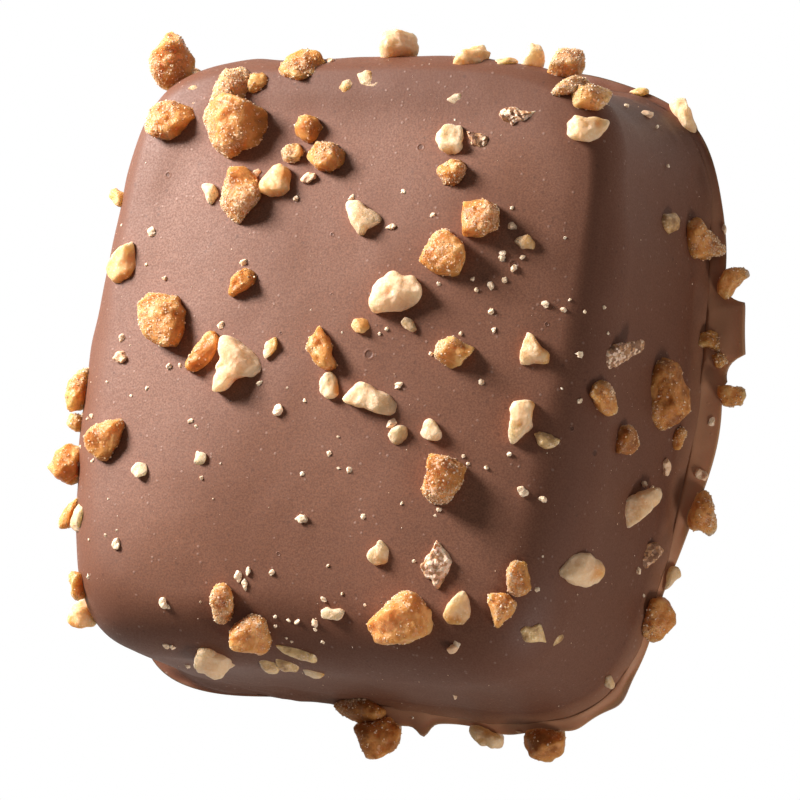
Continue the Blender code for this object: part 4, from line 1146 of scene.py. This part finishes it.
def build_groups():
    """Node groups that materials share: clouds, soft patches, fine grain, faceted crystals, round specks."""
    shading, given, put = new_group("Clouds", {"Size": 1.0, "Detail": 3.0}, ["Level"])
    shading.feed(put["Level"], shading.noise(shading.per_size(given["Size"]), given["Detail"]))

    shading, given, put = new_group("Patches", {"Size": 1.0, "Share": 0.5, "Edge": 0.1}, ["Mask"])
    noise = shading.noise(shading.per_size(given["Size"]), detail=4.0, roughness=0.6)
    edge = shading.count("SUBTRACT", 1.0, given["Share"])
    low = shading.count("SUBTRACT", edge, given["Edge"])
    high = shading.count("ADD", edge, given["Edge"])
    shading.feed(put["Mask"], shading.ease(shading.ease(noise, 0.25, 0.75), low, high))

    shading, given, put = new_group("Grain", {"Size": 0.1}, ["Height"])
    shading.feed(put["Height"], shading.noise(shading.per_size(given["Size"]), roughness=0.6))

    shading, given, put = new_group("Crystals", {"Size": 0.2}, ["Height", "Cell", "Gap"])
    scale = shading.per_size(given["Size"])
    place = shading.place()
    cells = shading.add("TexVoronoi", {"Vector": place, "Scale": scale, "Randomness": 1.0})
    offset = shading.vector("SUBTRACT", place, cells.outputs["Position"]).outputs["Vector"]
    facing = shading.vector("SUBTRACT", cells.outputs["Color"], (0.5, 0.5, 0.5)).outputs["Vector"]
    slope = shading.vector("DOT_PRODUCT", offset, facing).outputs["Value"]
    shading.feed(put["Height"], shading.count("MULTIPLY", slope, scale))
    shading.feed(put["Cell"], shading.add("SeparateColor", {"Color": cells.outputs["Color"]}).outputs[0])
    shading.feed(put["Gap"], shading.ease(cells.outputs["Distance"], 0.35, 0.75))

    shading, given, put = new_group("Specks", {"Size": 0.1, "Share": 0.1}, ["Mask"])
    scale = shading.per_size(given["Size"])
    cells = shading.add("TexVoronoi", {"Vector": shading.place(), "Scale": scale, "Randomness": 1.0})
    near = shading.ease(cells.outputs["Distance"], 0.5, 0.2)
    chosen = shading.add("SeparateColor", {"Color": cells.outputs["Color"]}).outputs[0]
    chosen = shading.count("LESS_THAN", chosen, given["Share"])
    shading.feed(put["Mask"], shading.count("MULTIPLY", near, chosen))


def build_pits(samples):
    """Group of round pits: 1 inside them, with a raised rim, by the distance to the nearest in its radii."""
    shading, _, put = new_group("Pits", {}, ["Inside", "Rim"])
    place = shading.place()
    nearest = FAR_AWAY
    for across, down, breadth in PITS.values():
        found = np.argmin(((samples[2] - np.array([across, down])) ** 2).sum(axis=1))
        centre = tuple((samples[0][found] * MM).tolist())
        away = shading.vector("DISTANCE", place, centre).outputs["Value"]
        reach = breadth / 2 * samples[3][found] * MM
        nearest = shading.count("MINIMUM", shading.count("DIVIDE", away, float(reach)), nearest)
    shading.feed(put["Inside"], shading.ease(nearest, 1.0, 0.6))
    rim = shading.count("MULTIPLY", shading.ease(nearest, 0.7, 1.0), shading.ease(nearest, 1.5, 1.05))
    shading.feed(put["Rim"], rim)


def finish(roughness, specular, glow, radius, scale):
    """Constants of a finish that lets light in by a share glow, as far as radius by colour times scale."""
    return {
        "Roughness": roughness,
        "Specular IOR Level": specular,
        "Subsurface Weight": glow,
        "Subsurface Radius": radius,
        "Subsurface Scale": scale * MM,
    }


def new_material(name, constants):
    """An empty material with its Principled shader, whose constants are set on the shader's own sockets."""
    material = bpy.data.materials.new(name)
    material.use_nodes = True
    shading = Shading(material.node_tree)
    shader = material.node_tree.nodes["Principled BSDF"].inputs
    for key, value in constants.items():
        shading.feed(shader[key], value)
    return material, shading, shader


def chocolate_material(look):
    """Satin milk chocolate: slow mottling, fine dark and pale specks, a fine grain and tiny pits with painted
    shade inside, sides darker partly by painted shade and a foot paler partly by painted light.
    """
    constants = finish(roughness=0.5, specular=0.34, glow=0.12, radius=(1.0, 0.45, 0.25), scale=0.6)
    material, shading, shader = new_material("milk chocolate", constants)
    mottle = shading.effect("Patches", size=7.0, share=0.5, edge=0.4)
    fine = shading.effect("Grain", size=0.09)
    dark = shading.effect("Specks", size=0.24, share=0.03)
    pale = shading.effect("Specks", size=0.19, share=0.03)
    pits = shading.group("Pits").outputs
    colour = shading.blend(mottle, look.chocolate_light, look.chocolate_dark)
    # Partly painted shade: the sides and the back shoulder take a darker colour than the top.
    colour = shading.blend(shading.value("side"), colour, look.chocolate_side_and_shade)
    colour = shading.blend(shading.spread(fine, 0.0, 0.7), colour, GRAIN_BROWN)
    colour = shading.stained(colour, dark, 0.3, SPECK_AND_PIT_SHADE_BROWN)
    colour = shading.stained(colour, pale, 0.14, SPECK_PALE)
    # Painted shade: the inside of each pit is darkened.
    colour = shading.stained(colour, pits["Inside"], 0.5, SPECK_AND_PIT_SHADE_BROWN)
    # Painted light, partly: the foot is stained paler, as thin chocolate and as light falling on its right
    # and front side.
    colour = shading.stained(colour, shading.value("foot"), 0.8, look.chocolate_thin_and_lit)
    shading.feed(shader["Base Color"], colour)
    shading.feed(shader["Roughness"], shading.spread(fine, 0.52, 0.64))
    normal = shading.bump(shading.effect("Grain", size=0.9), 0.01)
    normal = shading.bump(shading.effect("Grain", size=0.12), 0.008, normal)
    normal = shading.bump(pale, 0.01, normal)
    ring = shading.count("SUBTRACT", pits["Rim"], shading.count("MULTIPLY", pits["Inside"], 2.0))
    shading.feed(shader["Normal"], shading.bump(ring, 0.009, normal))
    return material


def brittle_material(look):
    """Caramel brittle: glowing amber, darker and paler by tone, under a crust of faceted sugar crystals."""
    constants = finish(roughness=0.35, specular=0.25, glow=0.6, radius=(1.0, 0.85, 0.7), scale=1.6)
    material, shading, shader = new_material("caramel brittle", constants)
    tone = shading.toned(shading.effect("Clouds", size=0.9), -0.3, 0.2)
    colour = shading.blend(shading.ease(tone, 0.0, 0.55), look.brittle_dark, look.brittle_amber)
    colour = shading.blend(shading.ease(tone, 0.5, 1.0), colour, look.brittle_pale)
    crystals = shading.group("Crystals", size=0.11).outputs
    stray = shading.ease(crystals["Cell"], 0.0, 1.0, -0.25, 0.25)
    crusted = shading.ease(shading.count("ADD", shading.value("crust"), stray), 0.48, 0.68)
    sugar = shading.blend(crystals["Cell"], look.sugar, look.sugar_tan)
    sugar = shading.stained(sugar, crystals["Gap"], 0.75, colour)
    shading.feed(shader["Base Color"], shading.stained(colour, crusted, 0.8, sugar))
    shading.feed(shader["Roughness"], shading.ease(crusted, 0.0, 1.0, 0.34, 0.42))
    height = shading.count("MULTIPLY", shading.ease(crusted, 0.0, 1.0, 0.2, 1.0), crystals["Height"])
    normal = shading.bump(shading.effect("Grain", size=0.16), 0.045)
    shading.feed(shader["Normal"], shading.bump(height, 0.13, normal))
    return material


def nut_material(look):
    """Chopped nut: ivory flesh, tan by tone, toasted where its crust is thick, finely granular."""
    constants = finish(roughness=0.5, specular=0.25, glow=0.6, radius=(1.0, 0.9, 0.75), scale=1.6)
    material, shading, shader = new_material("chopped nut", constants)
    tone = shading.toned(shading.effect("Clouds", size=1.1), -0.22, 0.22)
    toasted = shading.ease(shading.value("crust"), 0.25, 0.7, 0.0, 0.85)
    fine = shading.effect("Grain", size=0.13)
    colour = shading.blend(shading.ease(tone, 0.1, 0.9), look.nut_tan, look.nut_ivory)
    colour = shading.blend(toasted, colour, look.nut_toasted)
    colour = shading.blend(shading.ease(fine, 0.35, 0.7, 0.0, 0.22), colour, look.nut_tan)
    pale = shading.effect("Specks", size=0.12, share=0.25)
    shading.feed(shader["Base Color"], shading.stained(colour, pale, 0.4, look.grain_white))
    shading.feed(shader["Roughness"], shading.spread(fine, 0.42, 0.62))
    normal = shading.bump(shading.effect("Clouds", size=0.4), 0.06)
    normal = shading.bump(shading.effect("Crystals", size=0.16), 0.03, normal)
    shading.feed(shader["Normal"], shading.bump(fine, 0.03, normal))
    return material


def clear_material(look):
    """Thin clear brittle that lets the chocolate show through as olive, with a few sugar specks."""
    constants = finish(roughness=0.3, specular=0.5, glow=0.3, radius=(1.0, 0.8, 0.4), scale=0.6)
    material, shading, shader = new_material("clear brittle", constants)
    tone = shading.toned(shading.effect("Clouds", size=0.5, detail=4.0), -0.4, 0.4)
    colour = shading.blend(tone, look.clear_dark, look.clear_pale)
    specks = shading.count("MULTIPLY", shading.effect("Specks", size=0.16, share=0.4), shading.value("crust"))
    shading.feed(shader["Base Color"], shading.blend(specks, colour, look.sugar))
    shading.feed(shader["Roughness"], shading.ease(specks, 0.0, 1.0, 0.3, 0.5))
    normal = shading.bump(shading.effect("Grain", size=0.25), 0.08)
    shading.feed(shader["Normal"], shading.bump(shading.effect("Crystals", size=0.2), 0.05, normal))
    return material


def flake_material(look):
    """Dry flakes: brown and silvery cells side by side, paler towards a high tone."""
    constants = finish(roughness=0.5, specular=0.5, glow=0.3, radius=(1.0, 0.6, 0.35), scale=0.4)
    material, shading, shader = new_material("flakes", constants)
    crystals = shading.group("Crystals", size=0.15).outputs
    by_cell = shading.ease(crystals["Cell"], 0.0, 1.0, -0.5, 0.5)
    mixed = shading.count("ADD", shading.value("tone"), by_cell, clamp=True)
    colour = shading.blend(shading.ease(mixed, 0.05, 0.55), look.flake_dark, look.flake_tan)
    colour = shading.blend(shading.ease(mixed, 0.5, 0.9), colour, look.flake_silver)
    shading.feed(shader["Base Color"], colour)
    shading.feed(shader["Roughness"], shading.ease(mixed, 0.0, 1.0, 0.6, 0.35))
    normal = shading.bump(crystals["Height"], 0.09)
    shading.feed(shader["Normal"], shading.bump(shading.effect("Grain", size=0.1), 0.03, normal))
    return material


def crumb_material(name, low, high):
    """Loose grains or sugar: low colour to high colour by tone, with a fine grain."""
    constants = finish(roughness=0.4, specular=0.5, glow=0.4, radius=(1.0, 0.9, 0.8), scale=0.2)
    material, shading, shader = new_material(name, constants)
    fine = shading.effect("Grain", size=0.12)
    shading.feed(shader["Base Color"], shading.blend(shading.toned(fine, -0.15, 0.15), low, high))
    shading.feed(shader["Roughness"], shading.spread(fine, 0.3, 0.55))
    shading.feed(shader["Normal"], shading.bump(fine, 0.03))
    return material


def white_to_the_eye(tree, lit_output, output):
    """Shows a plain white to camera rays alone, so that the backdrop stays even while it lights as usual."""
    shading = Shading(tree)
    kind = "Background" if lit_output.node.type == "BACKGROUND" else "Emission"
    white = shading.add(kind, {"Color": FLOOR_WHITE, "Strength": 1.0})
    camera_ray = shading.add("LightPath").outputs["Is Camera Ray"]
    mix = shading.add("MixShader", {0: camera_ray, 1: lit_output, 2: white.outputs[0]})
    shading.feed(output.inputs["Surface"], mix.outputs[0])


def add_camera():
    """Camera in the fixed direction, with a small shift that puts the target where the photograph has it."""
    right, up, back = view_axes()
    eye = np.array(VIEW_TARGET) + VIEW_DISTANCE * back
    data = bpy.data.cameras.new("camera")
    data.sensor_width = SENSOR
    data.lens = SENSOR * VIEW_DISTANCE * PIXELS_PER_MM / IMAGE_SIDE
    data.shift_x = (IMAGE_SIDE / 2 - VIEW_MIDDLE[0]) / IMAGE_SIDE
    data.shift_y = (VIEW_MIDDLE[1] - IMAGE_SIDE / 2) / IMAGE_SIDE
    data.clip_start = CLIP_START
    camera = bpy.data.objects.new("camera", data)
    bpy.context.scene.collection.objects.link(camera)
    axes = np.column_stack([right, up, back, eye * MM])
    camera.matrix_world = Matrix([*axes.tolist(), [0.0, 0.0, 0.0, 1.0]])
    bpy.context.scene.camera = camera


def add_area_light(name, direction, distance, side, energy):
    """A square softbox in a direction from the middle of the praline, facing it."""
    data = bpy.data.lights.new(name, "AREA")
    data.energy = energy
    data.size = side
    light = bpy.data.objects.new(name, data)
    bpy.context.scene.collection.objects.link(light)
    towards = unit(np.array(direction))
    across = unit(np.cross(np.array([0.0, 0.0, 1.0]), towards))
    axes = np.column_stack([across, np.cross(towards, across), towards, towards * distance])
    light.matrix_world = Matrix([*axes.tolist(), [0.0, 0.0, 0.0, 1.0]])


def length_property(name, description, millimetres):
    return FloatProperty(name=name, description=description, default=millimetres * MM, unit="LENGTH")


def strength_property(name, description, default):
    return FloatProperty(name=name, description=description, default=default, min=0.0)


def colour_property(name, description, default):
    return FloatVectorProperty(name=name, description=description, default=default, subtype="COLOR", min=0.0,
                               max=1.0, size=3)


class CoatSizes(PropertyGroup):
    """Sizes of the chocolate coat."""

    height: length_property("Height", "Height of a flat top", 12.22)
    crown: length_property("Crown", "Rise of the top's middle above it", 2.08)
    width: length_property("Width", "Width across the walls", 26.8)
    length: length_property("Length", "Length along the walls", 31.2)
    shoulder: length_property("Shoulder", "Radius of the rounded edge", 2.33)
    flare: length_property("Flare", "How far the walls lean out", 0.64)
    foot_reach: length_property("Foot", "Reach of the foot past the wall", 0.55)
    waves: length_property("Waves", "Height of the coat's slow waves", 0.05)


class Looks(PropertyGroup):
    """Colours of the praline."""

    chocolate_light: colour_property("Chocolate", "Paler colour of the coat", (0.262, 0.106, 0.056))
    chocolate_dark: colour_property("Chocolate shade", "Darker colour of the coat", (0.238, 0.094, 0.049))
    # The sides' colour is partly painted shade.
    chocolate_side_and_shade: colour_property("Chocolate sides", "Colour of the coat's sides", (0.166, 0.062, 0.032))
    # The foot's colour is partly painted light on its right and front side.
    chocolate_thin_and_lit: colour_property("Thin chocolate", "The foot, where the coat is thin", (0.66, 0.31, 0.16))
    brittle_dark: colour_property("Dark brittle", "Brittle at its darkest", (0.32, 0.108, 0.024))
    brittle_amber: colour_property("Amber brittle", "Brittle at a middle tone", (0.64, 0.255, 0.066))
    brittle_pale: colour_property("Pale brittle", "Brittle at its palest", (0.87, 0.465, 0.180))
    sugar: colour_property("Sugar", "Sugar crystals", (0.98, 0.680, 0.480))
    sugar_tan: colour_property("Tan sugar", "Sugar crystals stained by caramel", (0.52, 0.240, 0.085))
    nut_ivory: colour_property("Nut", "Flesh of the nut", (0.98, 0.580, 0.345))
    nut_tan: colour_property("Tan nut", "Nut at its darkest", (0.88, 0.390, 0.14))
    nut_toasted: colour_property("Toasted nut", "Toasted skin and edges", (0.75, 0.30, 0.07))
    clear_dark: colour_property("Clear bit", "Thin clear bit where it is dark", (0.34, 0.165, 0.055))
    clear_pale: colour_property("Clear bit pale", "Thin clear bit where it is pale", (0.96, 0.61, 0.28))
    flake_dark: colour_property("Dark flake", "Flakes at their darkest", (0.30, 0.14, 0.07))
    flake_tan: colour_property("Tan flake", "Flakes at a middle tone", (0.62, 0.31, 0.14))
    flake_silver: colour_property("Silver flake", "Flakes at their palest", (0.92, 0.62, 0.43))
    grain_white: colour_property("Grain", "Loose grains at their palest", (1.00, 0.72, 0.50))
    grain_tan: colour_property("Tan grain", "Loose grains at their darkest", (0.78, 0.42, 0.20))


class Scatter(PropertyGroup):
    """Numbers of scattered things."""

    crystals: IntProperty(name="Sugar crystals", description="Crystals on the brittle", default=7500, min=0)
    dust: IntProperty(name="Dust", description="Fine dust on the coat", default=360, min=0)
    seed: IntProperty(name="Seed", description="Seed of the scattering", default=5, min=0)


class Studio(PropertyGroup):
    """Studio light."""

    key: strength_property("Key", "Power of the key softbox in watts", 0.92)
    key_side: length_property("Key side", "Side of the key softbox", 58.0)
    key_distance: length_property("Key distance", "Distance of the key softbox", 180.0)
    card: strength_property("Card", "Power of the side card in watts", 0.215)
    card_side: length_property("Card side", "Side of the side card", 60.0)
    card_distance: length_property("Card distance", "Distance of the side card", 220.0)
    fill: strength_property("Fill", "Brightness of the surroundings", 0.19)
    floor: FloatProperty(name="Floor", description="Share of light that the floor returns", default=0.25,
                         min=0.0, max=1.0, subtype="FACTOR")
    glow: strength_property("Floor glow", "Brightness of the lit table itself", 0.32)


def add_crumbs(name, points, triangles, tone, low, high):
    """Adds loose grains or sugar as one sharp-faced piece, coloured by tone from low to high."""
    material = crumb_material(name, low, high)
    add_piece(name, points, triangles, {"tone": tone}, material, faceted=True)


def add_bits(context, kind, table, with_hidden, name, make_material):
    """Adds all bits of a kind as one piece."""
    coat = Coat(context.scene.praline_coat)
    points, triangles, values = bits_of(kind, table, coat, coat.samples(), with_hidden)
    add_piece(name, points, triangles, values, make_material(context.scene.praline_looks))
    return {"FINISHED"}


class PRALINE_OT_stage(Operator):
    """Adds the floor, the lights and the camera"""

    bl_idname = "praline.stage"
    bl_label = "Studio"

    def execute(self, context):
        studio = context.scene.praline_studio
        context.scene.view_settings.view_transform = "Standard"
        add_camera()
        add_area_light("key", KEY_DIRECTION, studio.key_distance, studio.key_side, studio.key)
        add_area_light("card", CARD_DIRECTION, studio.card_distance, studio.card_side, studio.card)

        world = bpy.data.worlds.new("surroundings")
        world.use_nodes = True
        context.scene.world = world
        background = world.node_tree.nodes["Background"]
        background.inputs["Color"].default_value = (1.0, 1.0, 1.0, 1.0)
        background.inputs["Strength"].default_value = studio.fill
        output = world.node_tree.nodes["World Output"]
        white_to_the_eye(world.node_tree, background.outputs[0], output)

        constants = {
            "Roughness": 1.0,
            "Specular IOR Level": 0.0,
            "Emission Color": FLOOR_GLOW,
            "Emission Strength": studio.glow,
        }
        material, shading, shader = new_material("floor", constants)
        speckle = shading.spread(shading.noise(20.0, 2.0), 0.0, 0.02)
        shading.feed(shader["Base Color"], shading.blend(speckle, (studio.floor,) * 3, FLOOR_WHITE))
        lit = material.node_tree.nodes["Principled BSDF"].outputs[0]
        white_to_the_eye(material.node_tree, lit, material.node_tree.nodes["Material Output"])
        count = FLOOR_SQUARES + 1
        edge = np.linspace(-1.0, 1.0, count) * FLOOR_REACH
        across, along = np.meshgrid(edge, edge)
        points = np.stack([across, along, np.full_like(across, -FLOOR_DROP)], axis=-1).reshape(-1, 3)
        start = np.arange(count**2).reshape(count, count)[:-1, :-1].reshape(-1)
        faces = np.stack([start, start + 1, start + count + 1, start + count], axis=-1)
        mesh = bpy.data.meshes.new("floor")
        mesh.from_pydata((points * MM).tolist(), [], faces.tolist())
        mesh.materials.append(material)
        floor = bpy.data.objects.new("floor", mesh)
        context.scene.collection.objects.link(floor)
        return {"FINISHED"}


class PRALINE_OT_coat(Operator):
    """Adds the chocolate coat as one closed net from the top's middle to the underside's middle"""

    bl_idname = "praline.coat"
    bl_label = "Chocolate coat"

    def execute(self, context):
        coat = Coat(context.scene.praline_coat)
        steps = [np.linspace(start, start + 1.0, rows + 1)[1:] for start, rows in enumerate(COAT_ROWS)]
        steps = np.concatenate(steps)[:-1]
        even = 2 * np.pi * np.arange(COAT_SIDES) / COAT_SIDES
        turns, steps = np.meshgrid(even - CROWDING * np.sin(even - CROWDED_TURN), steps)
        net = coat.surface(turns, steps).reshape(-1, 3)
        top, underside = coat.surface(np.zeros(1), np.zeros(1)), np.zeros((1, 3))
        points = np.concatenate([top, net, underside])
        triangles = ball_triangles(*turns.shape)
        turns, steps = turns.reshape(-1), steps.reshape(-1)
        # Painted light, partly: the foot's paleness peaks at one turn, towards the right and front, and is
        # nothing at the back.
        thinness_and_light = THIN_GAIN * np.cos(turns - np.radians(THIN_AND_LIT_TURN)) - THIN_LOSS
        foot = np.clip((steps - THIN_FROM) / THIN_STEPS, 0.0, 1.0) * np.clip(thinness_and_light, 0.0, MOST_THIN)
        # Partly painted shade: the darker side colour starts sooner and changes faster at the back shoulder.
        back = np.clip(np.sin(turns), 0.0, 1.0)
        side_shade_from = SIDE_FROM - SIDE_SHIFT * back
        side = np.clip((steps - side_shade_from) / (SIDE_STEPS * (1.0 - SIDE_BACK * back)), 0.0, 1.0)
        values = {"foot": np.concatenate([[0.0], foot, [1.0]]), "side": np.concatenate([[0.0], side, [1.0]])}
        build_pits(coat.samples())
        material = chocolate_material(context.scene.praline_looks)
        add_piece("coat", points, triangles, values, material)
        return {"FINISHED"}


class PRALINE_OT_brittle(Operator):
    """Adds the bits of caramel brittle as one net"""

    bl_idname = "praline.brittle"
    bl_label = "Brittle"

    def execute(self, context):
        return add_bits(context, "brittle", BRITTLE, True, "brittle", brittle_material)


class PRALINE_OT_nuts(Operator):
    """Adds the bits of chopped nut as one net"""

    bl_idname = "praline.nuts"
    bl_label = "Nuts"

    def execute(self, context):
        return add_bits(context, "nut", NUT, True, "nuts", nut_material)


class PRALINE_OT_clear(Operator):
    """Adds the thin clear bits as one net"""

    bl_idname = "praline.clear"
    bl_label = "Clear bits"

    def execute(self, context):
        return add_bits(context, "clear", CLEAR, False, "clear_bits", clear_material)


class PRALINE_OT_flakes(Operator):
    """Adds the flat flakes as one net"""

    bl_idname = "praline.flakes"
    bl_label = "Flakes"

    def execute(self, context):
        return add_bits(context, "flakes", FLAKES, False, "flakes", flake_material)


class PRALINE_OT_sugar(Operator):
    """Adds sugar crystals on the brittle, most where its crust is strong"""

    bl_idname = "praline.sugar"
    bl_label = "Sugar"

    def execute(self, context):
        scatter, looks = context.scene.praline_scatter, context.scene.praline_looks
        draw = np.random.default_rng(scatter.seed)
        brittle = bpy.data.objects["brittle"]
        points, triangles = net_of(brittle)
        crust, level = values_of(brittle, "crust"), values_of(brittle, "level")
        weights = (BARE_SUGAR + crust**CRUST_POWER) * (level > LOWEST_SUGAR)
        places = scattered(points, triangles, weights, scatter.crystals, draw)
        breadths = mostly_small(*CRYSTAL_BREADTH, len(places), draw)
        points, triangles, tone = crumbs(places, breadths, CRYSTAL_NET, CRYSTAL_TONE, draw)
        add_crumbs("sugar", points, triangles, tone, looks.brittle_pale, looks.sugar)
        return {"FINISHED"}


class PRALINE_OT_grains(Operator):
    """Adds the small loose grains of nut and sugar on the coat"""

    bl_idname = "praline.grains"
    bl_label = "Grains"

    def execute(self, context):
        scatter, looks = context.scene.praline_scatter, context.scene.praline_looks
        draw = np.random.default_rng(scatter.seed + 1)
        coat = Coat(context.scene.praline_coat)
        samples = coat.samples()
        small = {name: (tone, 0.0, 0.0, outline) for name, (tone, outline) in SMALL.items()}
        points, triangles, values = bits_of("small", small, coat, samples, False)

        seen = np.array(GRAINS, float)
        gaps = ((samples[2][None] - seen[:, None, :2]) ** 2).sum(axis=-1)
        nearest = gaps.argmin(axis=1)
        breadths = GRAIN_SPREAD * seen[:, 2] * samples[3][nearest]
        centres = samples[0][nearest] + samples[1][nearest] * breadths[:, None] * SUNK
        more, net, more_tone = crumbs(centres, breadths, GRAIN_NET, GRAIN_TONE, draw)
        triangles = np.concatenate([triangles, net + len(points)])
        points = np.concatenate([points, more])
        tone = np.concatenate([values["tone"], more_tone])
        add_crumbs("grains", points, triangles, tone, looks.grain_tan, looks.grain_white)
        return {"FINISHED"}


class PRALINE_OT_dust(Operator):
    """Adds fine dust of sugar and nut on the coat, in loose drifts"""

    bl_idname = "praline.dust"
    bl_label = "Dust"

    def execute(self, context):
        scatter, looks = context.scene.praline_scatter, context.scene.praline_looks
        draw = np.random.default_rng(scatter.seed + 2)
        points, triangles = net_of(bpy.data.objects["coat"])
        drifts = np.clip(fractal(points, DRIFT_SIZE, 3, DRIFT_SEED) + DRIFT_SPREAD, 0.0, 1.0)
        weights = (BARE_DUST + drifts**2) * (points[:, 2] > LOWEST_DUST)
        places = scattered(points, triangles, weights, scatter.dust, draw)
        breadths = mostly_small(*DUST_BREADTH, len(places), draw)
        points, triangles, tone = crumbs(places, breadths, DUST_NET, DUST_TONE, draw)
        add_crumbs("dust", points, triangles, tone, looks.grain_tan, looks.grain_white)
        return {"FINISHED"}


class PRALINE_PT_panel(Panel):
    """Lists the pieces, their sizes and their colours"""

    bl_label = "Praline"
    bl_space_type = "VIEW_3D"
    bl_region_type = "UI"
    bl_category = "Praline"

    def draw(self, context):
        layout = self.layout
        for operator in OPERATORS:
            layout.operator(operator.bl_idname)
        for key in SETTINGS:
            settings = getattr(context.scene, key)
            box = layout.box()
            for name in settings.bl_rna.properties.keys():
                if name not in ("rna_type", "name"):
                    box.prop(settings, name)


OPERATORS = (
    PRALINE_OT_stage,
    PRALINE_OT_coat,
    PRALINE_OT_brittle,
    PRALINE_OT_nuts,
    PRALINE_OT_clear,
    PRALINE_OT_flakes,
    PRALINE_OT_sugar,
    PRALINE_OT_grains,
    PRALINE_OT_dust,
)
SETTINGS = {
    "praline_coat": CoatSizes,
    "praline_looks": Looks,
    "praline_scatter": Scatter,
    "praline_studio": Studio,
}


def register():
    for group in SETTINGS.values():
        bpy.utils.register_class(group)
    for operator in OPERATORS:
        bpy.utils.register_class(operator)
    bpy.utils.register_class(PRALINE_PT_panel)
    for name, group in SETTINGS.items():
        setattr(bpy.types.Scene, name, PointerProperty(type=group))


def unregister():
    for name in SETTINGS:
        delattr(bpy.types.Scene, name)
    bpy.utils.unregister_class(PRALINE_PT_panel)
    for operator in reversed(OPERATORS):
        bpy.utils.unregister_class(operator)
    for group in reversed(SETTINGS.values()):
        bpy.utils.unregister_class(group)


def main():
    register()
    build_groups()
    bpy.ops.praline.stage()
    bpy.ops.praline.coat()
    bpy.ops.praline.brittle()
    bpy.ops.praline.nuts()
    bpy.ops.praline.clear()
    bpy.ops.praline.flakes()
    bpy.ops.praline.sugar()
    bpy.ops.praline.grains()
    bpy.ops.praline.dust()


if __name__ == "__main__":
    main()
